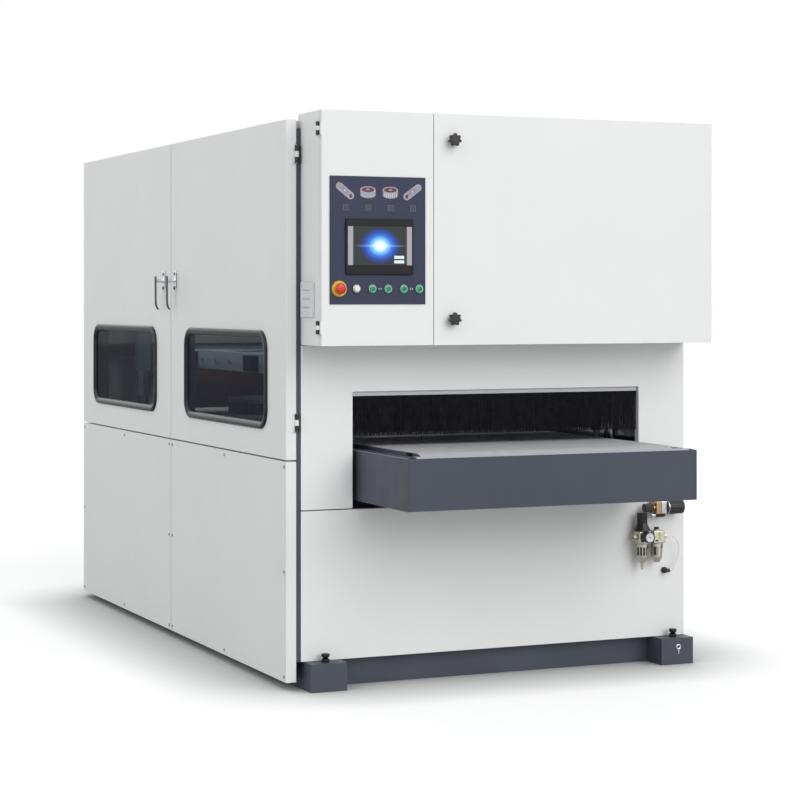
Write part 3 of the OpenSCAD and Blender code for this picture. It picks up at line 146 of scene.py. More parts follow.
def finish(piece, name, look, body, angle=32, node=None):
    """Names a piece, or a list joined into one, gives it its finish and body, and lets it stand for a node."""
    piece = settle(joined(piece) if isinstance(piece, list) else piece)
    piece.name = piece.data.name = name
    piece.data.materials.clear()
    piece.data.materials.append(FINISH[look])
    if angle:
        bpy.ops.object.shade_smooth_by_angle(angle=math.radians(angle))
        if len(piece.data.polygons) < EVEN_SHADING_LIMIT:
            even = piece.modifiers.new("even", "WEIGHTED_NORMAL")
            even.keep_sharp = True
            bpy.ops.object.modifier_apply(modifier=even.name)
    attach(piece, body)
    if node:
        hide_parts(node)


def stand_in(piece, node, part, look, angle=32):
    """Finishes a piece that shows a node, or one part of it."""
    finish(piece, node + "_" + part, look, BODY_OF[node], angle, node)


def finish_heaps(heaps, prefix, body, angle, node=None):
    """Finishes heaps of pieces, given as (pieces, name, finish)."""
    for heap, name, look in heaps:
        finish(heap, prefix + name, look, body, angle, node)


def rounded(piece, width, steps=2, angle=30):
    """Rounds a piece's edges."""
    alone(piece)
    soft = piece.modifiers.new("edges", "BEVEL")
    soft.width = width
    soft.segments = steps
    soft.limit_method = "ANGLE"
    soft.angle_limit = math.radians(angle)
    bpy.ops.object.modifier_apply(modifier=soft.name)
    return piece


def slab(low, high, edge=0.0, steps=2):
    """A block between two corners, with rounded edges."""
    low, high = Vector(low), Vector(high)
    bpy.ops.object.select_all(action="DESELECT")
    bpy.ops.mesh.primitive_cube_add(size=1, location=(low + high) / 2)
    piece = bpy.context.object
    piece.scale = high - low
    settle(piece)
    return rounded(piece, edge, steps) if edge else piece


def turned(profile, place=(0, 0, 0), axis="Z", sides=40, start=0.0):
    """A turned piece: rings of (distance from the start, radius) from one end to the other."""
    rings = [(start + at, radius) for at, radius in profile]
    at, radius = rings[0]
    bpy.ops.object.select_all(action="DESELECT")
    bpy.ops.mesh.primitive_circle_add(
        vertices=sides, radius=radius, fill_type="NGON", location=(0, 0, at)
    )
    piece = settle(bpy.context.object)
    bpy.ops.object.mode_set(mode="EDIT")
    bpy.ops.mesh.select_all(action="SELECT")
    for next_at, next_radius in rings[1:]:
        bpy.ops.mesh.extrude_region_move(TRANSFORM_OT_translate={"value": (0, 0, next_at - at)})
        share = next_radius / radius
        bpy.ops.transform.resize(value=(share, share, 1), center_override=(0, 0, next_at))
        at, radius = next_at, next_radius
    bpy.ops.object.mode_set(mode="OBJECT")
    reworked(piece, face_out)
    piece.rotation_euler = {"Z": (0, 0, 0), "X": (0, math.pi / 2, 0), "Y": (-math.pi / 2, 0, 0)}[axis]
    piece.location = place
    return settle(piece)


def plate_of(points, axis, low, high, edge=0.0, steps=2):
    """A flat piece with this outline, standing between two places along an axis."""
    bpy.ops.object.select_all(action="DESELECT")
    bpy.ops.mesh.primitive_circle_add(vertices=len(points), radius=1, fill_type="NGON")
    piece = bpy.context.object
    spot = {"X": lambda a, b: (low, a, b), "Y": lambda a, b: (a, low, b), "Z": lambda a, b: (a, b, low)}
    for vertex, (a, b) in zip(piece.data.vertices, points):
        vertex.co = spot[axis](a, b)
    way = [(high - low) * (axis == name) for name in "XYZ"]
    reworked(piece, lambda: bpy.ops.mesh.extrude_region_move(TRANSFORM_OT_translate={"value": way}), face_out)
    return rounded(piece, edge, steps, 40) if edge else piece


def hollow_ring(section, place, sides=40, axis="Y", start=0.0):
    """A ring: a closed section of (radius, distance from the start) spun once round its axis."""
    bpy.ops.object.select_all(action="DESELECT")
    bpy.ops.mesh.primitive_circle_add(vertices=len(section), radius=1, fill_type="NOTHING")
    piece = bpy.context.object
    for vertex, (radius, at) in zip(piece.data.vertices, section):
        vertex.co = (radius, start + at, 0)

    def spin():
        bpy.ops.mesh.spin(steps=sides, angle=math.tau, center=(0, 0, 0), axis=(0, 1, 0), use_auto_merge=True)

    reworked(piece, spin, lambda: bpy.ops.mesh.remove_doubles(threshold=0.000002), face_out)
    if axis == "X":
        piece.rotation_euler = (0, 0, -math.pi / 2)
    piece.location = place
    return settle(piece)


def meshed(name, points, faces):
    """A piece from points and faces, for fields of strands and swept sections."""
    mesh = bpy.data.meshes.new(name)
    mesh.from_pydata(points, [], faces)
    piece = bpy.data.objects.new(name, mesh)
    bpy.context.scene.collection.objects.link(piece)
    return piece


def twin(node):
    """A copy of a node with its loose triangles merged into whole faces."""
    piece = bpy.data.objects.new(node + "_twin", NODES[node].data.copy())
    bpy.context.scene.collection.objects.link(piece)
    return reworked(
        piece, lambda: bpy.ops.mesh.remove_doubles(threshold=0.00001),
        lambda: bpy.ops.mesh.dissolve_limited(angle_limit=math.radians(0.5)),
        lambda: bpy.ops.mesh.customdata_custom_splitnormals_clear(),
    )


def dressed(node, look, edge, steps=2, angle=30, smooth=32):
    """A node's shape with rounded edges, in place of the node."""
    stand_in(rounded(twin(node), edge, steps, angle), node, "body", look, angle=smooth)


def loose_parts(piece):
    """Splits a piece into its loose parts."""
    reworked(piece, lambda: bpy.ops.mesh.separate(type="LOOSE"))
    return list(bpy.context.selected_objects)


def sorted_parts(node, rule, edge):
    """Splits a node's rounded shape into its loose parts; the rule names a part's finish from its
    size, or drops the part with None."""
    heaps = {}
    for part in loose_parts(rounded(twin(node), edge)):
        places = [[v.co[i] for v in part.data.vertices] for i in range(3)]
        look = rule(Vector([max(row) - min(row) for row in places]))
        if look is None:
            bpy.data.objects.remove(part)
        else:
            heaps.setdefault(look, []).append(part)
    for look, parts in heaps.items():
        stand_in(parts, node, look, look, angle=34)


# Outlines, as lists of points on a plane


def across(points, a, b):
    """An outline given about the origin, moved to a place."""
    return [(p + a, q + b) for p, q in points]


def ellipse(rx, rz, count=28):
    return [(rx * math.cos(k * math.tau / count), rz * math.sin(k * math.tau / count))
            for k in range(count)]


def hexagon(a, b, radius):
    return [(a + radius * math.cos(k * math.pi / 3), b + radius * math.sin(k * math.pi / 3))
            for k in range(6)]


def pill(length, width, tilt, count=10):
    """A long outline with round ends, turned by an angle."""
    points = []
    for end, start in ((1, -math.pi / 2), (-1, math.pi / 2)):
        for k in range(count + 1):
            a = start + math.pi * k / count
            points.append((end * (length - width) / 2 + width / 2 * math.cos(a), width / 2 * math.sin(a)))
    c, s = math.cos(tilt), math.sin(tilt)
    return [(x * c - z * s, x * s + z * c) for x, z in points]


def round_outline(x0, x1, z0, z1, r, steps=6):
    """A rectangle with round corners."""
    points = []
    for cx, cz, start in ((x1 - r, z1 - r, 0), (x0 + r, z1 - r, 90), (x0 + r, z0 + r, 180),
                          (x1 - r, z0 + r, 270)):
        for k in range(steps + 1):
            a = math.radians(start + 90 * k / steps)
            points.append((cx + r * math.cos(a), cz + r * math.sin(a)))
    return points


def smooth_route(route, steps):
    """Points on a smooth curve through a route."""
    points = []
    ends = len(route) - 1
    for i in range(ends):
        a, b, c, d = (route[max(0, min(ends, i + k))] for k in (-1, 0, 1, 2))
        for k in range(steps):
            t = k / steps
            points.append(0.5 * (2 * b + (c - a) * t + (2 * a - 5 * b + 4 * c - d) * t * t
                                 + (3 * b - a - 3 * c + d) * t ** 3))
    return points + [route[-1]]


# Finishes


def add_node(tree, kind, inputs, **fields):
    """Adds a shader node; each input takes a value or another node's socket."""
    node = tree.nodes.new(kind)
    for key, value in fields.items():
        setattr(node, key, value)
    for key, value in inputs.items():
        if isinstance(value, bpy.types.NodeSocket):
            tree.links.new(value, node.inputs[key])
        else:
            node.inputs[key].default_value = value
    return node


def scaled(colour, share):
    return tuple(min(1.0, c * share) for c in colour)


class Recipe:
    """A material with its nodes, on Object coordinates."""

    def __init__(self, name):
        self.material = bpy.data.materials.new(name)
        self.material.use_nodes = True
        self.tree = self.material.node_tree
        self.shader = self.tree.nodes["Principled BSDF"]
        self.place = self.add("ShaderNodeTexCoord", {}).outputs["Object"]

    def add(self, kind, inputs, **fields):
        return add_node(self.tree, kind, inputs, **fields)

    def constants(self, values):
        """Sets constants on the shader's own sockets."""
        for socket, value in values.items():
            self.shader.inputs[socket].default_value = value

    def link(self, source, socket):
        self.tree.links.new(source, self.shader.inputs[socket])

    def grain(self, size, detail=3.0, rough=0.5, stretch=None):
        """Noise whose marks are about this many metres across."""
        place = self.place
        if stretch:
            place = self.add("ShaderNodeMapping", {"Scale": stretch, "Vector": place}).outputs["Vector"]
        noise = {"Scale": 1 / size, "Detail": detail, "Roughness": rough, "Vector": place}
        return self.add("ShaderNodeTexNoise", noise).outputs["Fac"]

    def ramp(self, source, stops):
        """Maps a value to colours through stops of (place, colour)."""
        node = self.add("ShaderNodeValToRGB", {"Fac": source})
        band = node.color_ramp
        while len(band.elements) < len(stops):
            band.elements.new(0.5)
        for element, (at, colour) in zip(band.elements, stops):
            element.position, element.color = at, (*colour, 1)
        return node.outputs["Color"]

    def colour(self, source, colour, low, high):
        """Varies a colour between two shares of it."""
        self.link(self.ramp(source, ((0.35, scaled(colour, low)), (0.65, scaled(colour, high)))),
                  "Base Color")

    def rough(self, source, low, high):
        """Varies the roughness between two values."""
        values = {"From Min": 0.3, "From Max": 0.7, "To Min": low, "To Max": high, "Value": source}
        self.link(self.add("ShaderNodeMapRange", values).outputs["Result"], "Roughness")

    def bump(self, source, depth, strength):
        """Adds a bump over those that are there."""
        node = self.add("ShaderNodeBump", {"Distance": depth, "Strength": strength, "Height": source})
        last = self.shader.inputs["Normal"]
        if last.is_linked:
            self.tree.links.new(last.links[0].from_socket, node.inputs["Normal"])
        self.link(node.outputs["Normal"], "Normal")


def powder_coat(name, colour, rough, spread=0.03):
    """Powder coat: a fine orange-peel skin, faint clouding and uneven sheen."""
    recipe = Recipe(name)
    recipe.colour(recipe.grain(0.35, 5, 0.55), colour, 1 - spread, 1 + spread)
    recipe.rough(recipe.grain(0.06, 4), rough - 0.05, rough + 0.06)
    recipe.bump(recipe.grain(0.0035, 2), 0.00006, 0.5)
    recipe.bump(recipe.grain(0.0011, 2), 0.00002, 0.35)
    recipe.constants({"Specular IOR Level": 0.42})
    return recipe.material


def bare_metal(name, colour, rough, along=(1, 1, 1), depth=0.00002):
    """Machined or drawn metal with fine marks along one way."""
    recipe = Recipe(name)
    marks = recipe.grain(0.004, 4, 0.6, along)
    recipe.colour(marks, colour, 0.86, 1.06)
    recipe.rough(marks, rough - 0.05, rough + 0.08)
    recipe.bump(marks, depth, 0.4)
    recipe.constants({"Metallic": 1.0})
    return recipe.material


def moulded(name, colour, rough, depth=0.00005, size=0.0009, spread=0.1):
    """Moulded plastic or rubber with a fine skin grain."""
    recipe = Recipe(name)
    recipe.colour(recipe.grain(0.03, 4), colour, 1 - spread, 1 + spread)
    recipe.rough(recipe.grain(0.012, 3), rough - 0.04, rough + 0.05)
    recipe.bump(recipe.grain(size, 2), depth, 0.5)
    return recipe.material


def belt_cloth(colour):
    """Belt face: fine square embossing and scuffs along the feed."""
    recipe = Recipe("belt_face")
    scuffs = recipe.grain(0.02, 5, 0.6, (1.0, 0.08, 1.0))
    recipe.colour(scuffs, colour, 0.93, 1.05)
    recipe.rough(scuffs, 0.52, 0.66)
    recipe.bump(recipe.grain(0.0016, 2), 0.00008, 0.6)
    return recipe.material


def tinted_pane():
    """Smoked window pane that shows what is behind it dimly."""
    recipe = Recipe("smoked_pane")
    recipe.constants({"Base Color": (0.01, 0.014, 0.028, 1), "Alpha": 0.55, "IOR": 1.3})
    recipe.rough(recipe.grain(0.2, 3), 0.03, 0.07)
    return recipe.material


def clear_plastic():
    recipe = Recipe("clear_tube_plastic")
    recipe.constants({"Base Color": (0.93, 0.95, 0.96, 1), "Alpha": 0.55})
    recipe.rough(recipe.grain(0.01, 3), 0.12, 0.22)
    return recipe.material


def screen_glow(x, z):
    """Picture on the screen: a blue light with a white heart and a flare across, on dark grey."""
    recipe = Recipe("screen_picture")

    def light(wide, high, stops):
        mapping = {"Location": (-x / wide, 0, -z / high), "Scale": (1 / wide, 0, 1 / high),
                   "Vector": recipe.place}
        place = recipe.add("ShaderNodeMapping", mapping).outputs["Vector"]
        ball = recipe.add("ShaderNodeTexGradient", {"Vector": place}, gradient_type="SPHERICAL")
        return recipe.ramp(ball.outputs["Fac"], stops)

    glow = light(0.086, 0.07, (
        (0.0, (0.022, 0.028, 0.026)), (0.1, (0.02, 0.03, 0.06)), (0.27, (0.018, 0.05, 0.26)),
        (0.46, (0.03, 0.13, 0.5)), (0.64, (0.16, 0.4, 0.68)), (0.86, (0.62, 0.8, 0.86))))
    flare = light(0.112, 0.0055, ((0.0, (0, 0, 0)), (1.0, (0.14, 0.26, 0.42))))
    both = recipe.add("ShaderNodeMix", {0: 1.0, 6: glow, 7: flare}, data_type="RGBA", blend_type="ADD")
    recipe.link(both.outputs[2], "Base Color")
    recipe.link(both.outputs[2], "Emission Color")
    recipe.constants({"Emission Strength": 0.55, "Roughness": 0.4, "Specular IOR Level": 0.2})
    return recipe.material


POWDER_COATS = {
    "motor_paint": ("motor_paint", (0.24, 0.29, 0.35), 0.42, 0.06),
    "guard": ("guard_paint", (0.42, 0.43, 0.44), 0.44, 0.05),
    # Lighter lavender grey of the table's lip and edge strips: a painted highlight on the dark table.
    "trim": ("table_trim", (0.42, 0.425, 0.47), 0.4, 0.05),
    "holder": ("holder_strip_coat", (0.5, 0.51, 0.52), 0.45, 0.03),
    "control_plate": ("control_plate_coat", (0.038, 0.043, 0.08), 0.4, 0.04),
}
METALS = {
    "steel": ("bright_steel", (0.62, 0.63, 0.65), 0.3, (1, 1, 0.15)),
    "zinc": ("zinc_plate", (0.5, 0.5, 0.5), 0.36),
    "zinc_dark": ("screw_heads", (0.36, 0.36, 0.36), 0.38),
    "black_oxide": ("blackened_steel", (0.035, 0.035, 0.038), 0.42),
    "cast": ("die_cast_body", (0.6, 0.58, 0.5), 0.42),
    "brass": ("nickel_brass", (0.62, 0.55, 0.4), 0.3),
    "copper": ("brass_body", (0.5, 0.33, 0.19), 0.34),
    "chrome": ("chrome_plate", (0.8, 0.81, 0.83), 0.1, (1, 1, 1), 0.000005),
    "dark_chrome": ("dark_chrome", (0.14, 0.14, 0.15), 0.22, (1, 1, 1), 0.000005),
    "satin_chrome": ("satin_chrome", (0.72, 0.73, 0.75), 0.24, (1, 1, 1), 0.000005),
}
MOULDINGS = {
    "black": ("black_moulding", (0.012, 0.012, 0.013), 0.42),
    "rubber": ("black_rubber", (0.022, 0.022, 0.024), 0.62),
    "window_rubber": ("window_rubber", (0.009, 0.011, 0.017), 0.3, 0.00003),
    "red": ("red_plastic", (0.62, 0.035, 0.018), 0.3, 0.00001),
    "yellow": ("yellow_plastic", (0.72, 0.44, 0.02), 0.34, 0.00001),
    "white": ("white_plastic", (0.8, 0.82, 0.8), 0.3, 0.00001, 0.0009, 0.03),
    "green": ("green_plastic", (0.012, 0.17, 0.085), 0.28, 0.00001),
    "green_ring": ("green_ring", (0.2, 0.62, 0.4), 0.32, 0.00001),
    "paper": ("paper_sheets", (0.74, 0.74, 0.72), 0.8, 0.00002, 0.0009, 0.04),
    "oil": ("oil_sight", (0.45, 0.5, 0.06), 0.18, 0.000005),
    "bowl_dark": ("smoked_bowl", (0.035, 0.036, 0.032), 0.16, 0.000005),
    "needle": ("gauge_needle_paint", (0.1, 0.14, 0.42), 0.4, 0.000005),
    "duct": ("cable_duct", (0.3, 0.31, 0.32), 0.45, 0.00001),
    "drive_case": ("drive_case", (0.16, 0.17, 0.19), 0.42, 0.00002),
    "abrasive": ("abrasive_bristle", (0.16, 0.075, 0.035), 0.62, 0.0001, 0.0012, 0.3),
    "screen_case": ("screen_case_plastic", (0.006, 0.006, 0.008), 0.4, 0.00002),
    "key_bar": ("key_bar_film", (0.38, 0.37, 0.41), 0.4, 0.000005, 0.0009, 0.03),
    "screen_white": ("screen_field_light", (0.8, 0.86, 0.9), 0.3, 0.000005, 0.0009, 0.02),
    "sign_grey": ("sign_grey_ink", (0.3, 0.29, 0.34), 0.5, 0.000005),
    "sign_rim": ("sign_rim_ink", (0.4, 0.33, 0.4), 0.5, 0.000005),
    "sign_dark": ("sign_dark_ink", (0.085, 0.035, 0.05), 0.5, 0.000005),
    "sign_light": ("sign_light_ink", (0.62, 0.62, 0.66), 0.5, 0.000005),
    "sign_faint": ("sign_faint_ink", (0.17, 0.175, 0.22), 0.5, 0.000005),
}
SHEEN = {"window_rubber": 0.3, "bristle": 0.08, "control_plate": 0.22, "table": 0.3, "base": 0.36,
         "screen_case": 0.25, "glass": 0.05}
FINISH = {}


def mix_finishes(colours):
    """Mixes the machine's finishes, the main ones from the user's colours."""
    FINISH["panels"] = powder_coat("panel_powder_coat", tuple(colours.panels), 0.42, 0.012)
    FINISH["table"] = powder_coat("table_powder_coat", tuple(colours.table), 0.46, 0.05)
    FINISH["base"] = powder_coat("base_powder_coat", tuple(colours.base), 0.5, 0.07)
    FINISH["machinery"] = powder_coat("machinery_paint", tuple(colours.machinery), 0.48, 0.06)
    FINISH["bristle"] = moulded("bristle_fibre", tuple(colours.bristles), 0.75, 0.00002, 0.0006, 0.3)
    FINISH["belt"] = belt_cloth(tuple(colours.belt))
    FINISH["glass"] = tinted_pane()
    FINISH["clear"] = clear_plastic()
    for table, mixed in ((POWDER_COATS, powder_coat), (METALS, bare_metal), (MOULDINGS, moulded)):
        for look, values in table.items():
            FINISH[look] = mixed(*values)
    for look, level in SHEEN.items():
        shader = FINISH[look].node_tree.nodes["Principled BSDF"]
        shader.inputs["Specular IOR Level"].default_value = level


# The camera, lights and floor


class SANDER_OT_stage(bpy.types.Operator):
    """Sets up the camera, the studio light and the floor."""

    bl_idname = "sander.stage"
    bl_label = "Stage"

    # Each sun's name, the way it shines from, its power and its spread in degrees
    SUNS = (
        ("front_sun", (0.3, -0.92, 0.66), 1.42, 50), ("low_sun", (0.2, -1.0, 0.14), 0.4, 40),
        ("left_sun", (-0.85, -0.1, 0.62), 0.8, 70), ("back_sun", (0.24, 0.85, 0.62), 0.8, 70),
    )

    def execute(self, context):
        lens = bpy.data.cameras.new("camera")
        lens.lens, lens.sensor_width, lens.shift_y = 96.35, 36.0, -0.125
        lens.clip_start, lens.clip_end = 0.1, 200.0
        camera = bpy.data.objects.new("camera", lens)
        camera.location = (-3.659, -8.852, 1.455)
        camera.rotation_euler = (math.pi / 2, 0, math.radians(-23.8))
        context.scene.collection.objects.link(camera)
        context.scene.camera = camera
        context.scene.view_settings.view_transform = "Standard"
        self.light_world(context)
        self.place_lamps(context)
        self.lay_floor()
        return {"FINISHED"}

    def light_world(self, context):
        """A soft sky that the camera sees as plain white."""
        world = bpy.data.worlds.new("studio")
        context.scene.world = world
        world.use_nodes = True
        tree = world.node_tree
        tree.nodes.clear()
        path = add_node(tree, "ShaderNodeLightPath", {}).outputs
        seen_by = path["Is Camera Ray"]
        for ray in ("Is Transmission Ray", "Is Glossy Ray"):
            both = add_node(tree, "ShaderNodeMath", {0: seen_by, 1: path[ray]}, operation="ADD",
                            use_clamp=True)
            seen_by = both.outputs[0]
        lit = add_node(tree, "ShaderNodeBackground", {"Color": (0.96, 0.98, 1.0, 1), "Strength": 0.55})
        seen = add_node(tree, "ShaderNodeBackground", {"Color": (1, 1, 1, 1)})
        mix = add_node(tree, "ShaderNodeMixShader", {"Fac": seen_by, 1: lit.outputs[0], 2: seen.outputs[0]})
        add_node(tree, "ShaderNodeOutputWorld", {"Surface": mix.outputs[0]})

    def place_lamps(self, context):
        """The studio's suns and the soft lamp inside the enclosure."""
        for name, way, power, spread in self.SUNS:
            lamp = bpy.data.lights.new(name, "SUN")
            lamp.energy, lamp.angle = power, math.radians(spread)
            piece = bpy.data.objects.new(name, lamp)
            piece.location = Vector(way) * 8
            piece.rotation_euler = Vector(way).to_track_quat("Z", "Y").to_euler()
            context.scene.collection.objects.link(piece)
        lamp = bpy.data.lights.new("inside_lamp", "AREA")
        lamp.shape, lamp.size, lamp.size_y, lamp.energy = "RECTANGLE", 0.12, 1.3, 9.0
        piece = bpy.data.objects.new("inside_lamp", lamp)
        piece.location, piece.rotation_euler = (-0.735, 0, 1.5), (0, math.radians(-72), 0)
        piece.visible_camera = piece.visible_glossy = False
        context.scene.collection.objects.link(piece)

    def lay_floor(self):
        """A floor that glows white to the camera, with a painted contact shadow that dims the glow near the
        machine.
        """
        bpy.ops.object.select_all(action="DESELECT")
        bpy.ops.mesh.primitive_plane_add(size=120, location=(0, 0, -0.0004))
        floor = bpy.context.object
        floor.name = "floor"
        recipe = Recipe("studio_floor")
        recipe.constants({"Base Color": (0.46, 0.46, 0.46, 1), "Roughness": 0.9, "Specular IOR Level": 0.0})
        # Painted contact shadow: ambient occlusion, raised to a power, cuts the camera-only glow beside the
        # machine.
        near = recipe.add("ShaderNodeAmbientOcclusion", {"Distance": 0.5}, samples=16).outputs["AO"]
        deep = recipe.add("ShaderNodeMath", {0: near, 1: 3.2}, operation="POWER").outputs[0]
        part = recipe.add("ShaderNodeMath", {0: deep, 1: 0.56}, operation="MULTIPLY").outputs[0]
        camera = recipe.add("ShaderNodeLightPath", {}).outputs["Is Camera Ray"]
        share = recipe.add("ShaderNodeMath", {0: camera, 1: part}, operation="MULTIPLY").outputs[0]
        glow = recipe.add("ShaderNodeEmission", {"Strength": share}).outputs[0]
        both = recipe.add("ShaderNodeAddShader", {0: recipe.shader.outputs[0], 1: glow}).outputs[0]
        recipe.tree.links.new(both, recipe.tree.nodes["Material Output"].inputs["Surface"])
        floor.data.materials.append(recipe.material)


# The machine's pieces


class SANDER_OT_air_tube(bpy.types.Operator):
    """Runs the clear tube from the lubricator to the elbow."""

    bl_idname = "sander.air_tube"
    bl_label = "Air tube"

    ROUTE = (
        (771, -1440, 515), (780, -1440, 515), (802, -1440, 511), (822, -1438, 496),
        (834, -1435, 470), (837, -1432, 440), (831, -1429, 410), (818, -1426, 386),
        (809, -1424, 370), (800, -1424, 370),
    )

    def execute(self, context):
        line = bpy.data.curves.new("air_tube_line", "CURVE")
        line.dimensions, line.bevel_depth, line.bevel_resolution = "3D", 0.003, 3
        line.use_fill_caps = True
        spline = line.splines.new("POLY")
        points = smooth_route([Vector(p) * MM for p in self.ROUTE], 8)
        spline.points.add(len(points) - 1)
        for spot, point in zip(spline.points, points):
            spot.co = (*point, 1)
        tube = bpy.data.objects.new("air_tube_clear", line)
        context.scene.collection.objects.link(tube)
        line.materials.append(FINISH["clear"])
        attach(tube, "machine")
        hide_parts("air_tube")
        return {"FINISHED"}


class SANDER_OT_plain(bpy.types.Operator):
    """Dresses the nodes that keep their own shape."""

    bl_idname = "sander.plain"
    bl_label = "Panels and frame"

    PANELS = ("front_upper_panel", "front_lower_panel", "rear_upper_panel", "rear_lower_panel",
              "left_lower_panels", "right_side_panels", "roof_panel", "electrical_cabinet",
              "left_front_door", "left_rear_door", "control_door", "power_door")
    TUBES = ("base_frame", "upper_frame")

    def execute(self, context):
        sizes = context.scene.sander_sizes
        for node in self.PANELS:
            dressed(node, "panels", sizes.fold_radius)
        for node in self.TUBES:
            dressed(node, "base", sizes.tube_radius)
        return {"FINISHED"}


class SANDER_OT_belt(bpy.types.Operator):
    """Lays the belt and lays lighter strips on the table's edges, painted highlights on its lip and side tops.
    """

    bl_idname = "sander.belt"
    bl_label = "Belt and table"

    TOP = 0.8868

    def execute(self, context):
        dressed("conveyor_belt", "belt", 0.0007, smooth=25)
        # The bed's thin lip takes the lighter edge finish: a painted highlight along its top.
        sorted_parts("conveyor_bed", lambda size: "trim" if max(size.y, size.z) < 0.01 else "table", 0.0022)
        low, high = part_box("conveyor_bed")
        # Light strips on the side plates' top edges: painted highlights.
        highlight_strips = [slab((x0 + 0.0005, low.y + 0.01, self.TOP - 0.0005),
                      (x1 - 0.0005, high.y - 0.01, self.TOP + 0.0005), 0.0004)
                 for x0, x1 in ((low.x, low.x + 0.005), (high.x - 0.005, high.x))]
        finish(highlight_strips, "table_edge_painted_highlights", "trim", "machine")
        profile = ((-0.0005, 0.0075), (0.002, 0.0075), (0.0034, 0.0058), (0.0034, 0.0034), (0.0018, 0.003))
        heads = [turned(profile, (x, y, self.TOP), "Z", 18)
                 for x in (low.x + 0.022, high.x - 0.022) for y in (low.y + 0.014, high.y - 0.014)]
        finish(heads, "table_corner_screws", "black", "machine", 40)
        return {"FINISHED"}


class SANDER_OT_curtains(bpy.types.Operator):
    """Hangs the bristle curtains of both mouths in their holders."""

    bl_idname = "sander.curtains"
    bl_label = "Curtains"

    ROWS = 4
    STRANDS = 430

    def execute(self, context):
        for side, node in ((-1, "front_curtain"), (1, "rear_curtain")):
            low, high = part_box(node)
            middle = (low.y + high.y) / 2
            stand_in(self.holder(low, high, middle, side), node, "holder", "holder")
            stand_in(self.strands(low, high, middle, side), node, "bristles", "bristle", 60)
        return {"FINISHED"}

    def holder(self, low, high, middle, side):
        """The bar that holds the strands, with its row of screws."""
        half = (high.y - low.y) / 2
        top, foot = high.z, high.z - 0.0164
        corners = ((middle - half, foot), (middle + half, foot), (middle + half, top), (middle - half, top))
        pieces = [plate_of(corners, "X", low.x, high.x, 0.0008)]
        for i in range(9):
            screw = turned(((0, 0.0042), (0.0011, 0.004), (0.0019, 0.0028), (0.0021, 0.0008)),
                           axis="Y", sides=14)
            screw.scale = (1, side, 1)
            screw.location = (low.x + 0.06 + i * (high.x - low.x - 0.12) / 8,
                              middle + side * half - side * 0.0004, (top + foot) / 2)
            settle(screw)
            pieces.append(reworked(screw, face_out) if side < 0 else screw)
        return pieces

    def strands(self, low, high, middle, side):
        """Rows of strands, each a little different, under a backing that closes the holder."""
        rolls = random.Random(71 if side < 0 else 72)
        bpy.ops.object.select_all(action="DESELECT")
        bpy.ops.mesh.primitive_cylinder_add(vertices=3, radius=1, depth=1, end_fill_type="NGON")
        one = reworked(
            bpy.context.object,
            lambda: bpy.ops.mesh.bisect(plane_co=(0, 0, 0.2), plane_no=(0, 0, 1)),
            lambda: bpy.ops.mesh.bisect(plane_co=(0, 0, -0.15), plane_no=(0, 0, 1)),
        )
        shape = [v.co.copy() for v in one.data.vertices]
        faces = [tuple(p.vertices) for p in one.data.polygons]
        bpy.data.objects.remove(one)
        spots, sides = [], []
        top = high.z - 0.0166
        width = high.x - low.x - 0.004
        for row in range(self.ROWS):
            y = middle + (row - (self.ROWS - 1) / 2) * 0.0024
            for i in range(self.STRANDS):
                x = low.x + 0.002 + (i + 0.5 + rolls.uniform(-0.3, 0.3)) * width / self.STRANDS
                foot = low.z + rolls.uniform(0.0, 0.0035) + (0.002 if row % 2 else 0)
                lean = rolls.gauss(0, 0.0011)
                sway = rolls.gauss(0, 0.0009)
                thick = rolls.uniform(0.00085, 0.0014)
                base = len(spots)
                for v in shape:
                    drop = 0.5 - v.z
                    taper = thick * (1 - 0.35 * drop)
                    spots.append((x + v.x * taper + lean * drop * drop, y + v.y * taper + sway * drop * drop,
                                  top + (foot - top) * drop))
                sides += [tuple(base + k for k in face) for face in faces]
        backing = slab((low.x + 0.001, middle - 0.0046, top - 0.006),
                       (high.x - 0.001, middle + 0.0046, top), 0.001)
        return [meshed("strands", spots, sides), backing]


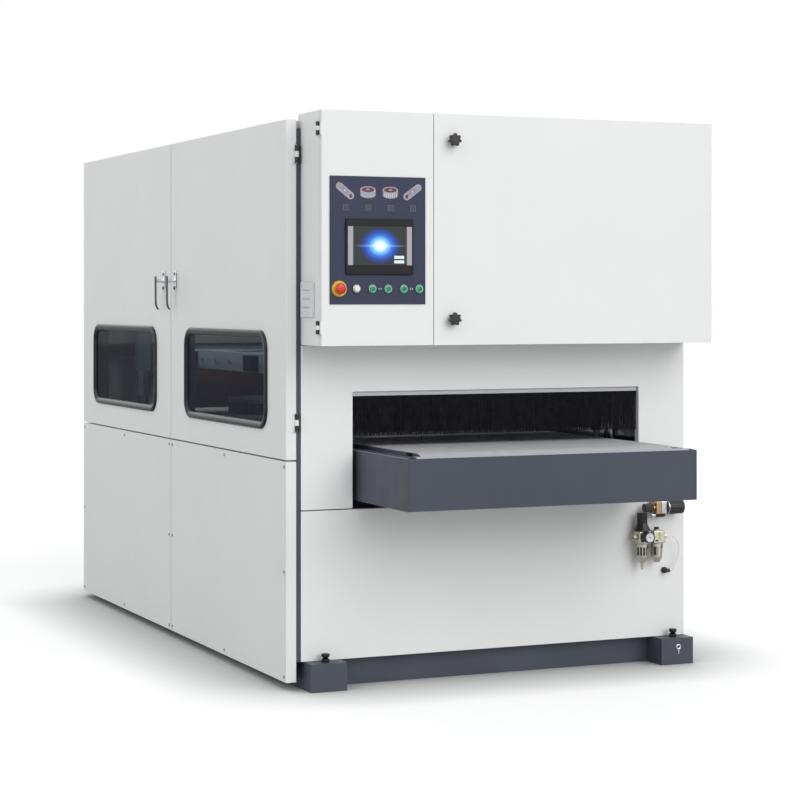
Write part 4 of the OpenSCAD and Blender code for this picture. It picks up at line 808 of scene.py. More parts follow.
class SANDER_OT_controls(bpy.types.Operator):
    """Builds the control plate with its screen, signs, buttons and emergency stop."""

    bl_idname = "sander.controls"
    bl_label = "Controls"

    BUTTONS = (("start_button", "white"), ("green_button_1", "green"), ("green_button_2", "green"),
               ("green_button_3", "green"), ("green_button_4", "green"))

    def execute(self, context):
        dressed("control_plate", "control_plate", 0.0009)
        self.screen()
        self.signs()
        self.buttons()
        self.stop()
        return {"FINISHED"}

    def screen(self):
        low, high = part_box("touch_screen")
        face, back = PLATE_FACE - 0.0073, PLATE_FACE - 0.0003
        bezel = plate_of(round_outline(low.x, high.x, low.z, high.z, 0.006), "Y", face, back, 0.0016, 3)
        alone(bezel)
        bpy.ops.object.mode_set(mode="EDIT")
        bpy.ops.mesh.select_all(action="DESELECT")
        bpy.ops.object.mode_set(mode="OBJECT")
        max(bezel.data.polygons, key=lambda p: p.area * (p.normal.y < -0.9)).select = True
        bpy.ops.object.mode_set(mode="EDIT")
        bpy.ops.mesh.select_mode(type="FACE")
        bpy.ops.mesh.inset(thickness=0.004)
        bpy.ops.mesh.extrude_region_move(TRANSFORM_OT_translate={"value": (0, 0.0008, 0)})
        bpy.ops.object.mode_set(mode="OBJECT")
        body = slab((low.x + 0.0145, back - 0.001, low.z + 0.0145),
                    (high.x - 0.0145, high.y, high.z - 0.0145), 0.002)
        stand_in([bezel, body], "touch_screen", "case", "screen_case")
        face += 0.0008
        low_z, high_z = 1.583, 1.725
        FINISH["picture"] = screen_glow(-0.549, (low_z + high_z) / 2)
        picture = slab((-0.656, face - 0.0004, low_z), (-0.442, face + 0.001, high_z), 0.0002, 1)
        bars = [slab((x, face - 0.0006, low_z), (x + 0.0205, face + 0.001, high_z), 0.0002, 1)
                for x in (-0.677, -0.4415)]
        fields = [slab((-0.4925, face - 0.0007, z), (-0.4525, face, z + 0.0115), 0.0002, 1)
                  for z in (1.59, 1.6065)]
        lamp = turned(((0, 0.0013), (0.0004, 0.0012), (0.0006, 0.0006)), (-0.48, face - 0.0001, 1.564),
                      "Y", 12)
        lamp.scale = (1, -1, 1)
        for piece, name, look, slot in ((picture, "picture", "picture", "screen_black"),
                                        (bars, "key_bars", "key_bar", "screen_black"),
                                        (fields, "fields", "screen_white", "white_plastic"),
                                        (lamp, "lamp", "green_ring", "green_plastic")):
            finish(piece, "touch_screen_" + name, look, "control_door")

    def signs(self):
        """The small symbols over the screen: thin plates, each layer a little prouder."""
        grey, rim, dark, light, squares = [], [], [], [], []

        def layer(points, x, z, step, heap):
            heap.append(plate_of(across(points, x, z), "Y", PLATE_FACE - 0.00022 * step, PLATE_FACE + 0.0005))

        z = 1.854
        for x, tilt in ((-0.686, -0.66), (-0.416, 0.62)):
            layer(pill(0.084, 0.027, tilt), x, z, 1, rim)
            layer(pill(0.078, 0.021, tilt), x, z, 2, grey)
            end = 0.0285
            ex, ez = x + end * math.cos(tilt) * (1 if tilt < 0 else -1), z - end * abs(math.sin(tilt))
            layer(ellipse(0.0088, 0.0112), ex, ez, 3, rim)
            layer(ellipse(0.006, 0.0082), ex, ez, 4, dark)
            layer(ellipse(0.0036, 0.0036, 4), x, z + 0.002, 3, light)
            for k in (-0.02, -0.01, 0.01):
                layer(pill(0.007, 0.0018, tilt + 0.9, 4), x + k * math.cos(tilt), z + k * math.sin(tilt), 3,
                      dark)
        z, wide, foot, pitch = 1.851, 0.031, 0.009, 0.0078
        for x in (-0.595, -0.505):
            drum = [p for p in across(ellipse(wide, 0.0135), 0, -foot) if p[1] < -foot]
            drum += [(wide, foot), (-wide, foot)]
            drum.sort(key=lambda p: math.atan2(p[1], p[0]))
            layer(drum, x, z, 1, grey)
            layer(ellipse(wide, 0.0125), x, 1.86, 2, rim)
            layer(ellipse(0.0255, 0.009), x, 1.86, 3, dark)
            layer(ellipse(0.007, 0.0032), x, 1.8605, 4, rim)
            for k in range(-3, 4):
                low_z = z - foot - 0.0125 * math.sqrt(1 - (k * pitch / wide) ** 2) + 0.002
                layer([(-0.0012, low_z), (0.0012, low_z), (0.0012, 1.8475), (-0.0012, 1.8475)],
                      x + k * pitch, 0, 2, light)
        for x in (-0.683, -0.593, -0.503, -0.414):
            for x0, x1, z0, z1 in ((-0.0105, 0.0105, 0.009, 0.0105), (-0.0105, 0.0105, -0.0105, -0.009),
                                   (-0.0105, -0.009, -0.0105, 0.0105), (0.009, 0.0105, -0.0105, 0.0105),
                                   (-0.005, 0.005, 0.002, 0.0034), (-0.005, 0.005, -0.0034, -0.002)):
                squares.append(slab((x + x0, PLATE_FACE - 0.0003, 1.794 + z0),
                                    (x + x1, PLATE_FACE + 0.0003, 1.794 + z1)))
        finish_heaps(((grey, "shapes", "sign_grey"), (rim, "rims", "sign_rim"),
                      (dark, "hollows", "sign_dark"), (light, "highlights", "sign_light"),
                      (squares, "squares", "sign_faint")),
                     "sign_", "control_door", 0)

    def buttons(self):
        bezels, rings = [], {"white": [], "green": []}
        for node, kind in self.BUTTONS:
            low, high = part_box(node)
            x, z = (low.x + high.x) / 2, (low.z + high.z) / 2
            bezels.append(hollow_ring(((0.0168, 0), (0.0168, -0.0016), (0.0162, -0.003), (0.015, -0.0034),
                                       (0.012, -0.0034), (0.012, 0)), (x, PLATE_FACE, z), 36))
            rings[kind].append(hollow_ring(((0.0155, 0), (0.0152, -0.004), (0.0142, -0.0052), (0.0122, -0.0054),
                                            (0.0113, -0.0046), (0.0112, 0)), (x, PLATE_FACE, z)))
            cap = turned(((high.y - low.y, 0.009), (0.01, 0.011), (0.0016, 0.011), (0.0004, 0.0103),
                          (0, 0.0092), (0.0008, 0.0086), (0.0007, 0.006), (0.0004, 0.002)),
                         (x, 0, z), "Y", 36, low.y)
            stand_in(cap, node, "cap", kind)
            if kind == "green":
                band = hollow_ring(((0.0107, 0.0024), (0.0106, 0.0004), (0.0098, -0.0003), (0.0086, 0.0003),
                                    (0.0086, 0.0024)), (x, 0, z), start=low.y)
                finish(band, node + "_rim", "green_ring", node)
        finish(bezels, "button_bezels", "black", "control_door")
        finish(rings["green"], "green_button_rings", "green_ring", "control_door")
        finish(rings["white"], "white_button_ring", "zinc", "control_door")
        arrows = []
        for x in (-0.5465, -0.4205):
            for way in (-1, 1):
                points = ((way * 0.0075, 0), (way * 0.0025, 0.0032), (way * 0.0025, -0.0032))
                arrows.append(plate_of(across(points, x, 1.496), "Y", PLATE_FACE - 0.0003,
                                       PLATE_FACE + 0.0003))
        finish(arrows, "button_arrows", "sign_light", "control_door", 0)

    def stop(self):
        low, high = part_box("emergency_stop")
        x, z = (low.x + high.x) / 2, (low.z + high.z) / 2
        collar = hollow_ring(((0.0303, 0), (0.0303, -0.003), (0.0293, -0.0039), (0.027, -0.0042),
                              (0.012, -0.0042), (0.012, 0)), (x, PLATE_FACE, z), 48)
        finish(collar, "emergency_stop_collar", "yellow", "control_door")
        head = turned(((high.y - low.y, 0.0105), (0.015, 0.0107), (0.0146, 0.015), (0.0138, 0.0188),
                       (0.0105, 0.0199), (0.0065, 0.0197), (0.003, 0.0178), (0.001, 0.0135),
                       (0.0002, 0.008), (0, 0.002)), (x, 0, z), "Y", 44, low.y)
        stand_in(head, "emergency_stop", "head", "red", 40)


class SANDER_OT_knobs(bpy.types.Operator):
    """Fits the lobed knobs of the power door."""

    bl_idname = "sander.knobs"
    bl_label = "Star knobs"

    def execute(self, context):
        for node, z in (("upper_star_knob", 2.052), ("lower_star_knob", 1.384)):
            low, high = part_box(node)
            x, front = (low.x + high.x) / 2, low.y
            lobes = []
            for k in range(112):
                a = k * math.tau / 112
                radius = 0.0214 + 0.0034 * math.cos(7 * a)
                lobes.append((x + radius * math.sin(a), z + radius * math.cos(a)))
            grip = plate_of(lobes, "Y", front, front + 0.022, 0.0032, 3)
            cup = turned(((0.001, 0.0125), (-0.0002, 0.0122), (-0.0004, 0.01), (0.0018, 0.0092),
                          (0.0022, 0.002)), (x, 0, z), "Y", 32, front)
            neck = turned(((0.02, 0.014), (0.026, 0.0112), (0.0357, 0.0105)), (x, 0, z), "Y", 32, front)
            shaft = turned(((front + 0.03, 0.005), (high.y, 0.005)), (x, 0, z), "Y", 20)
            cam = plate_of(across(round_outline(-0.007, 0.007, -0.06, 0.007, 0.004), x, z),
                           "Y", high.y - 0.004, high.y, 0.0006)
            stand_in([grip, cup, neck], node, "grip", "black", 40)
            stand_in([shaft, cam], node, "cam", "zinc")
        return {"FINISHED"}


class SANDER_OT_handles(bpy.types.Operator):
    """Fits the lever handles with their lock plates."""

    bl_idname = "sander.handles"
    bl_label = "Door handles"

    HEIGHT = 1.538

    def execute(self, context):
        z = self.HEIGHT
        for y, node, body in ((-0.068, "front_door_handle", "front_side_door"),
                              (0.094, "rear_door_handle", "rear_side_door")):
            low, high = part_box(node)
            outer = low.x
            lever = self.lever([(outer + 0.0048, z + 0.02), (outer + 0.0052, z - 0.03),
                                (outer + 0.006, z - 0.092), (outer + 0.0082, z - 0.107),
                                (outer + 0.0125, z - 0.117), (outer + 0.018, z - 0.1235)], y)
            boss = turned(((0.007, 0.006), (0.008, 0.0082), (0.013, 0.0088), (0.018, 0.0074),
                           (0.034, 0.0074), (0.039, 0.0105)), (0, y, z), "X", 32, outer)
            spindle = turned(((DOOR_FACE - 0.01, 0.006), (high.x - 0.006, 0.006)), (0, y, z), "X", 20)
            tongue = plate_of(across(round_outline(-0.008, 0.008, -0.008, 0.08, 0.004), y, z), "X",
                              high.x - 0.006, high.x, 0.0008)
            stand_in(lever, node, "lever", "dark_chrome", 40)
            stand_in(boss, node, "boss", "satin_chrome", 40)
            stand_in([spindle, tongue], node, "latch", "zinc")
            plate = plate_of(across(round_outline(-0.019, 0.019, -0.042, 0.042, 0.01), y, z), "X",
                             DOOR_FACE - 0.0058, DOOR_FACE - 0.0003, 0.0016, 3)
            rose = turned(((-0.0052, 0.016), (-0.0066, 0.0152), (-0.007, 0.013)), (0, y, z), "X", 36,
                          DOOR_FACE)
            finish([plate, rose], body + "_lock_plate", "satin_chrome", body, 40)
            core = turned(((-0.005, 0.0078), (-0.0082, 0.0076), (-0.0086, 0.005)), (0, y, z - 0.031), "X", 28,
                          DOOR_FACE)
            slot = slab((DOOR_FACE - 0.0089, y - 0.0008, z - 0.0345),
                        (DOOR_FACE - 0.008, y + 0.0008, z - 0.0275), 0.0002, 1)
            cap = turned(((-0.005, 0.0068), (-0.007, 0.0066), (-0.0075, 0.004)), (0, y, z + 0.029), "X", 28,
                         DOOR_FACE)
            finish([core, cap], body + "_lock_core", "black", body, 40)
            finish(slot, body + "_key_slot", "zinc", body)
        return {"FINISHED"}

    def lever(self, centre, y):
        """A lever of oval section along a bent line."""
        points = smooth_route([Vector((x, 0, z)) for x, z in centre], 5)
        bpy.ops.object.select_all(action="DESELECT")
        bpy.ops.mesh.primitive_circle_add(vertices=14, radius=1, fill_type="NGON")
        piece = bpy.context.object

        def section(k):
            share = k / (len(points) - 1)
            return 0.0082 - 0.0022 * share, 0.0046 - 0.0008 * share

        wide, thick = section(0)
        for vertex in piece.data.vertices:
            a, b = vertex.co.x, vertex.co.y
            vertex.co = (points[0].x + b * thick, y + a * wide, points[0].z)
        bpy.ops.object.mode_set(mode="EDIT")
        bpy.ops.mesh.select_all(action="SELECT")
        bpy.ops.object.mode_set(mode="OBJECT")
        for k in range(1, len(points)):
            bpy.ops.object.mode_set(mode="EDIT")
            bpy.ops.mesh.extrude_region_move(TRANSFORM_OT_translate={"value": points[k] - points[k - 1]})
            bpy.ops.object.mode_set(mode="OBJECT")
            wide, thick = section(k)
            ahead = points[min(k + 1, len(points) - 1)] - points[k - 1]
            out = Vector((-ahead.z, 0, ahead.x)).normalized()
            ring = [v for v in piece.data.vertices if v.select]
            middle = sum((v.co for v in ring), Vector()) / len(ring)
            for v in ring:
                turn = math.atan2(v.co.y - middle.y, (v.co - middle).dot(out) * 1.8)
                v.co = points[k] + Vector((0, y + math.sin(turn) * wide, 0)) + out * math.cos(turn) * thick
        return rounded(reworked(piece, face_out), 0.0018, 3, 50)


class SANDER_OT_windows(bpy.types.Operator):
    """Fits the rubber frames and smoked panes of the side doors."""

    bl_idname = "sander.windows"
    bl_label = "Windows"

    FRAME_CORNER = 0.075
    PANE_CORNER = 0.0447

    def execute(self, context):
        for side in ("front", "rear"):
            node = side + "_window_frame"
            low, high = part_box(node)
            face, back, door = low.x, high.x, DOOR_FACE
            rings = ((door - 0.0001, 0.0), (door - 0.004, -0.0002), (door - 0.0078, 0.002),
                     (face + 0.0004, 0.0062), (face, 0.0115), (face + 0.001, 0.017), (door - 0.006, 0.0222),
                     (door - 0.002, 0.0262), (door + 0.0004, 0.0292), (back, 0.0296), (back, 0.013),
                     (door - 0.0001, 0.0128))
            stand_in(self.sweep(low, high, rings), node, "moulding", "window_rubber", 60)
            node = side + "_window_pane"
            low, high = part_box(node)
            outline = round_outline(low.y, high.y, low.z, high.z, self.PANE_CORNER, 12)
            stand_in(plate_of(outline, "X", low.x, high.x, 0.0006), node, "sheet", "glass")
        return {"FINISHED"}

    def sweep(self, low, high, rings):
        """A closed section carried round a window's box; each ring is (x, inset)."""
        spots, faces = [], []
        for x, inset in rings:
            outline = round_outline(low.y + inset, high.y - inset, low.z + inset, high.z - inset,
                                    self.FRAME_CORNER - inset, 12)
            spots += [(x, a, b) for a, b in outline]
        count = len(outline)
        for r in range(len(rings)):
            here, there = r * count, ((r + 1) % len(rings)) * count
            faces += [(here + k, here + (k + 1) % count, there + (k + 1) % count, there + k)
                      for k in range(count)]
        return reworked(meshed("window_moulding", spots, faces), face_out)


class SANDER_OT_hardware(bpy.types.Operator):
    """Fits the hinges, panel screws, document pocket and floor fixings."""

    bl_idname = "sander.hardware"
    bl_label = "Hinges, screws and feet"

    def execute(self, context):
        dressed("panel_screws", "zinc_dark", 0.0003, 1, 40, 40)
        sorted_parts("fixed_hinge_leaves", lambda size: "black", 0.0008)
        self.hinge_pins()
        self.pocket()
        self.feet()
        self.earth_lug()
        return {"FINISHED"}

    def hinge_pins(self):
        heads = []
        for y in (-1.408, 1.408):
            for z in (0.998, 1.998):
                for way in (-1, 1):
                    profile = [(way * at, r) for at, r in ((-0.001, 0.0042), (0.0008, 0.0042),
                                                           (0.0018, 0.0026), (0.002, 0.0008))]
                    heads.append(turned(profile, (-0.795, y, 0), "Z", 16, z + way * 0.033))
        finish(heads, "side_hinge_pins", "zinc", "machine", 40)

    def pocket(self):
        dressed("document_pocket", "clear", 0.001)
        low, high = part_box("document_pocket")
        sheets = []
        for k, drop in enumerate((0.006, 0.012, 0.02)):
            x = low.x + 0.003 + 0.0012 * k
            sheets.append(slab((x, low.y + 0.008 + 0.003 * k, low.z + 0.004),
                               (x + 0.0005, high.y - 0.008, high.z - drop)))
        finish(sheets, "document_pocket_papers", "paper", "machine", 0)
        ribs = [slab((low.x - 0.0012, low.y + 0.03, z), (low.x + 0.0004, high.y - 0.03, z + 0.003), 0.0008)
                for z in (low.z + 0.034, low.z + 0.066, low.z + 0.098)]
        finish(ribs, "document_pocket_ribs", "key_bar", "machine", 40)

    def feet(self):
        thread = [(0.0095, 0.009)]
        for k in range(7):
            z = 0.1175 + k * 0.0011
            thread += [(z, 0.009), (z + 0.0005, 0.01)]
        thread.append((0.1262, 0.009))
        bolts = []
        for x in (-0.6915, 0.8075):
            for y in (-1.436, 1.436):
                bolts.append(turned(thread, (x, y, 0), "Z", 18))
                for low, high in ((0.1053, 0.1173), (0.125, 0.137)):
                    bolts.append(plate_of(hexagon(x, y, 0.017), "Z", low, high, 0.0018))
                bolts.append(turned(((0.0, 0.023), (0.002, 0.024), (0.0075, 0.024), (0.0098, 0.02)),
                                    (x, y, 0), "Z", 28))
        finish(bolts, "levelling_bolts", "black_oxide", "machine", 36, "foot_hardware")

    def earth_lug(self):
        x, z, y = 0.811, 0.069, -1.4723
        ring = hollow_ring(((0.0118, 0.0), (0.012, -0.001), (0.0112, -0.0034), (0.0096, -0.004),
                            (0.0068, -0.0038), (0.0053, -0.0028), (0.005, 0.0)), (x, y, z))
        tail = ((-0.004, -0.008), (-0.0034, -0.0275), (0.0034, -0.0275), (0.004, -0.008))
        tail = plate_of(across(tail, x, z), "Y", y - 0.0036, y, 0.0008)
        finish([ring, tail], "earth_lug", "satin_chrome", "machine", 40, "foot_hardware")
        disc = turned(((-0.0002, 0.0047), (-0.0008, 0.004)), (x, y, z), "Y", 20)
        finish(disc, "earth_lug_bolt", "black", "machine", 40)


def ribbed(place, axis, low, high, radius, depth, count, edge=0.0006):
    """A round bar with ribs or fins along it."""
    a, b = place
    points = []
    for k in range(count):
        for share, r in ((0.0, radius), (0.42, radius), (0.52, radius - depth), (0.9, radius - depth)):
            turn = (k + share) * math.tau / count
            points.append((a + r * math.cos(turn), b + r * math.sin(turn)))
    return plate_of(points, axis, low, high, edge)


class SANDER_OT_air_unit(bpy.types.Operator):
    """Builds the filter, lubricator, gauge, regulator, speed valve and elbow."""

    bl_idname = "sander.air_unit"
    bl_label = "Air unit"

    FILTER, OILER, Y = 0.664, 0.73, -1.44
    VALVE_Y, VALVE_Z, VALVE_LOW_Z = -1.436, 0.626, 0.596

    def execute(self, context):
        self.bodies()
        self.bowls()
        self.gauge()
        dressed("regulator_knob", "black", 0.0006, 2, 40, 40)
        dressed("valve_knob", "black", 0.0008, 2, 40, 40)
        band = hollow_ring(((0.0278, 0), (0.0281, -0.0015), (0.0278, -0.003), (0.0262, -0.003), (0.0262, 0)),
                           (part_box("valve_knob")[0].x + 0.01, self.VALVE_Y, self.VALVE_Z), 40, "X")
        finish(band, "valve_knob_band", "satin_chrome", "valve_knob")
        self.fittings()
        return {"FINISHED"}

    def bodies(self):
        y, cast, dark = self.Y, [], []
        for x in (self.FILTER, self.OILER):
            cast.append(slab((x - 0.027, y - 0.025, 0.4853), (x + 0.027, y + 0.025, 0.5368), 0.005, 3))
            cast.append(turned(((0.485, 0.0246), (0.489, 0.0254), (0.4925, 0.0254), (0.494, 0.0246)),
                               (x, y, 0), "Z", 36))
            dark.append(slab((x - 0.0195, y - 0.0256, 0.4935), (x - 0.006, y - 0.024, 0.5), 0.0006, 1))
        cast.append(slab((self.FILTER + 0.02, y - 0.0135, 0.4965), (self.OILER - 0.02, y + 0.0135, 0.5245),
                         0.003))
        bracket = slab((self.FILTER + 0.002, y + 0.012, 0.4955), (self.OILER - 0.002, AIR_UNIT_WALL, 0.5345),
                       0.0015)
        port_z, inlet, outlet = 0.511, 0.0108, 0.0088
        cast.append(plate_of(hexagon(y, port_z, inlet * 1.12), "X", 0.626, 0.639, 0.0008))
        cast.append(hollow_ring(((inlet, 0), (inlet, 0.005), (inlet * 0.62, 0.005), (inlet * 0.62, 0)),
                                (0.6225, y, port_z), 28, "X"))
        cast.append(plate_of(hexagon(y, port_z, outlet * 1.12), "X", 0.759, 0.7706, 0.0008))
        cast.append(turned(((0, outlet * 0.8), (0.012, outlet * 0.8), (0.0145, outlet * 0.6)),
                           (0.755, y, port_z), "X", 24))
        dark.append(turned(((0.5368, 0.033), (0.5395, 0.0332), (0.544, 0.0312), (0.552, 0.0262),
                            (0.562, 0.0222), (0.5668, 0.0208), (0.567, 0.013)), (self.FILTER, y, 0), "Z", 44))
        dark.append(turned(((0.566, 0.0118), (0.594, 0.0118)), (self.FILTER, y, 0), "Z", 28))
        cast.append(turned(((0.536, 0.015), (0.5395, 0.0148), (0.54, 0.012)), (self.OILER, y, 0), "Z", 32))
        dark.append(ribbed((self.OILER, y), "Z", 0.5398, 0.5488, 0.0098, 0.0008, 20, 0.0003))
        sight = slab((self.OILER - 0.0045, y - 0.0258, 0.501), (self.OILER + 0.0045, y - 0.024, 0.529),
                     0.0015)
        finish_heaps(((cast, "castings", "cast"), (dark, "bonnet_and_marks", "black"),
                      (bracket, "bracket", "zinc")),
                     "air_unit_", "machine", 40, "air_unit_body")
        finish(sight, "air_unit_oil_sight", "oil", "machine", 40)

    def bowls(self):
        guards, insides, latches, drain = [], [], [], []
        top, foot, y, count = 0.4845, 0.4297, self.Y, 10
        for x in (self.FILTER, self.OILER):
            insides.append(turned(((top - 0.002, 0.0215), (foot + 0.002, 0.0213), (foot - 0.017, 0.0125),
                                   (foot - 0.0205, 0.008)), (x, y, 0), "Z", 32))
            guards.append(turned(((0, 0.0225), (-0.001, 0.0235), (-0.012, 0.0235), (-0.013, 0.0218)),
                                 (x, y, 0), "Z", 36, top))
            guards.append(turned(((0.01, 0.0218), (0.009, 0.0232), (0, 0.023), (-0.0105, 0.0178),
                                  (-0.0195, 0.0132), (-0.021, 0.0118)), (x, y, 0), "Z", 36, foot))
            staves = [((k + 0.5) * math.tau / count, 0.72 * math.pi / count, 0.0212) for k in range(count)
                      if k not in ((5, 6, 7) if x == self.FILTER else (6,))]
            staves += [(a, 0.085, 0.0214) for a in ((-2.55, -2.02, -1.5) if x == self.FILTER else (-2.02,))]
            for turn, half, inner in staves:
                points = [(x + r * math.cos(turn + way * half), y + r * math.sin(turn + way * half))
                          for r, way in ((inner, -1), (0.0233, -1), (0.0233, 1), (inner, 1))]
                guards.append(plate_of(points, "Z", foot + 0.008, top - 0.011))
            a = -0.85
            latch = slab((-0.0042, -0.0016, -0.0075), (0.0042, 0.0022, 0.0075), 0.0012)
            latch.rotation_euler = (0, 0, a + math.pi / 2)
            latch.location = (x + 0.0236 * math.cos(a), y + 0.0236 * math.sin(a), top - 0.01)
            latches.append(settle(latch))
        drain.append(ribbed((self.FILTER, y), "Z", 0.394, 0.408, 0.007, 0.0009, 12, 0.0004))
        drain.append(turned(((0.3945, 0.0052), (0.3825, 0.005), (0.3817, 0.0036)), (self.FILTER, y, 0),
                            "Z", 20))
        finish_heaps(((guards, "guards", "cast"), (insides, "insides", "bowl_dark"),
                      (latches, "latches", "black"), (drain, "drain", "brass")), "air_unit_bowl_", "machine",
                      40, "air_unit_bowls")

    def gauge(self):
        x, z, front, back = self.FILTER, 0.515, -1.5053, -1.4713
        case = hollow_ring(((0.019, front + 0.0035), (0.019, front + 0.0008), (0.0198, front),
                            (0.021, front + 0.0004), (0.0215, front + 0.0022), (0.0215, back - 0.003),
                            (0.02, back - 0.0004), (0.015, back), (0.006, back), (0.006, back - 0.008),
                            (0.0185, back - 0.01)), (x, 0, z), 48)
        stem = plate_of(hexagon(x, z, 0.0072), "Y", back - 0.001, -1.4656, 0.0006)
        finish([case, stem], "gauge_case", "black", "machine", 40, "pressure_gauge")
        dial = turned(((0.006, 0.0191), (0.0036, 0.0191)), (x, 0, z), "Y", 48, front)
        finish(dial, "gauge_dial", "white", "machine", 20)
        marks = []
        for k in range(21):
            a = math.radians(225 - k * 13.5)
            r0, r1, wide = (0.0132, 0.0168, 0.00042) if k % 5 == 0 else (0.0148, 0.0168, 0.00026)
            c, s = math.cos(a), math.sin(a)
            points = [(c * r - s * w, s * r + c * w)
                      for r, w in ((r0, wide), (r1, wide), (r1, -wide), (r0, -wide))]
            marks.append(plate_of(across(points, x, z), "Y", front + 0.0033, front + 0.0037))
        marks.append(turned(((0.0037, 0.0024), (0.002, 0.0022)), (x, 0, z), "Y", 16, front))
        finish(marks, "gauge_marks", "black", "machine", 0)
        a = math.radians(118)
        c, s = math.cos(a), math.sin(a)
        points = [(c * r - s * w, s * r + c * w)
                  for r, w in ((-0.005, 0.0008), (0.015, 0), (-0.005, -0.0008))]
        needle = plate_of(across(points, x, z), "Y", front + 0.0024, front + 0.0029)
        finish(needle, "gauge_needle", "needle", "machine", 0)

    def fittings(self):
        y, z, low_z, wall = self.VALVE_Y, self.VALVE_Z, self.VALVE_LOW_Z, AIR_UNIT_WALL
        elbow = (0.786, 0, 0.37)
        brass = [slab((0.7205, y - 0.0205, 0.6015), (0.7445, wall, 0.6505), 0.003),
                 turned(((0.708, 0.0105), (0.716, 0.0105), (0.7205, 0.012)), (0, y, z), "X", 28)]
        silver = [slab((0.7447, y - 0.0205, 0.6015), (0.77, wall, 0.6505), 0.003),
                  turned(((0.765, 0.008), (0.792, 0.008)), (0, y, z), "X", 24),
                  turned(((0.7085, 0.0075), (0.7088, 0.009), (0.724, 0.009), (0.7242, 0.0082)),
                         (0, y, low_z), "X", 24)]
        dark = [ribbed((y, z), "X", 0.6745, 0.7075, 0.0168, 0.0011, 26, 0.0006),
                turned(((0.6742, 0.0118), (0.674, 0.014), (0.675, 0.0158), (0.71, 0.0156), (0.715, 0.012)),
                       (0, y, z), "X", 36),
                turned(((0.7235, 0.0078), (0.73, 0.009), (0.764, 0.009), (0.769, 0.007)),
                       (0, y, low_z), "X", 28),
                turned(((wall, 0.0122), (-1.411, 0.0122), (-1.412, 0.011)), elbow, "Y", 28),
                turned(((-1.411, 0.0078), (-1.423, 0.008), (-1.429, 0.0072), (-1.4318, 0.0045)), elbow,
                       "Y", 24),
                turned(((0.783, 0.007), (0.796, 0.0078), (0.7998, 0.0068)), (0, -1.424, 0.37), "X", 24)]
        rim = hollow_ring(((0.0075, 0), (0.0074, 0.0022), (0.0052, 0.0022), (0.0052, 0)),
                          (0.7978, -1.424, 0.37), 24, "X")
        finish_heaps(((brass, "brass_half", "copper"), (silver, "steel_half", "satin_chrome"),
                      (dark, "plastic", "black"), (rim, "release_ring", "zinc")),
                     "fittings_", "machine", 40, "air_fittings")


def motor(axis, middle, drive_end, fan_end, radius, cowl_end):
    """A finned motor: its stator with end shields and its fan cowl.
    Ends are places along its axis."""
    a, b = middle
    out = 1 if fan_end > drive_end else -1
    place = {"X": (0, a, b), "Y": (a, 0, b), "Z": (a, b, 0)}[axis]
    low, high = sorted((drive_end + out * 0.022, fan_end - out * 0.004))
    body = ribbed(middle, axis, low, high, radius * 0.985, radius * 0.11, 36, 0.0008)

    def shell(*profile):
        return turned([(drive_end + out * at, radius * share) for at, share in profile], place, axis, 44)

    span, deep = abs(fan_end - drive_end), abs(cowl_end - fan_end)
    shield = shell((0.0, 0.62), (0.001, 0.94), (0.004, 1), (0.016, 1), (0.02, 0.96), (0.026, 0.9))
    rear = shell((span - 0.018, 0.9), (span - 0.014, 0.99), (span - 0.002, 0.99), (span, 0.9))
    cowl = shell((span + 0.0004, 0.93), (span + deep * 0.7, 0.93), (span + deep * 0.9, 0.88),
                 (span + deep * 0.985, 0.76), (span + deep * 0.985, 0.3), (span + deep * 0.93, 0.26))
    return [body, shield, rear], [cowl]


def grille(axis, middle, at, radius, out):
    """Air slots round a fan cowl's end, laid on as thin black plates: painted shade in place of open slots."""
    a, b = middle
    slots = []
    for ring, count in ((0.45, 12), (0.64, 18)):
        for k in range(count):
            turn = k * math.tau / count
            c, s = math.cos(turn), math.sin(turn)
            long, wide = radius * 0.075, radius * 0.028
            points = [(a + c * (radius * ring + u) - s * v, b + s * (radius * ring + u) + c * v)
                      for u, v in ((-long, -wide), (long, -wide), (long, wide), (-long, wide))]
            slots.append(plate_of(points, axis, min(at, at + out * 0.0004), max(at, at + out * 0.0004)))
    return slots


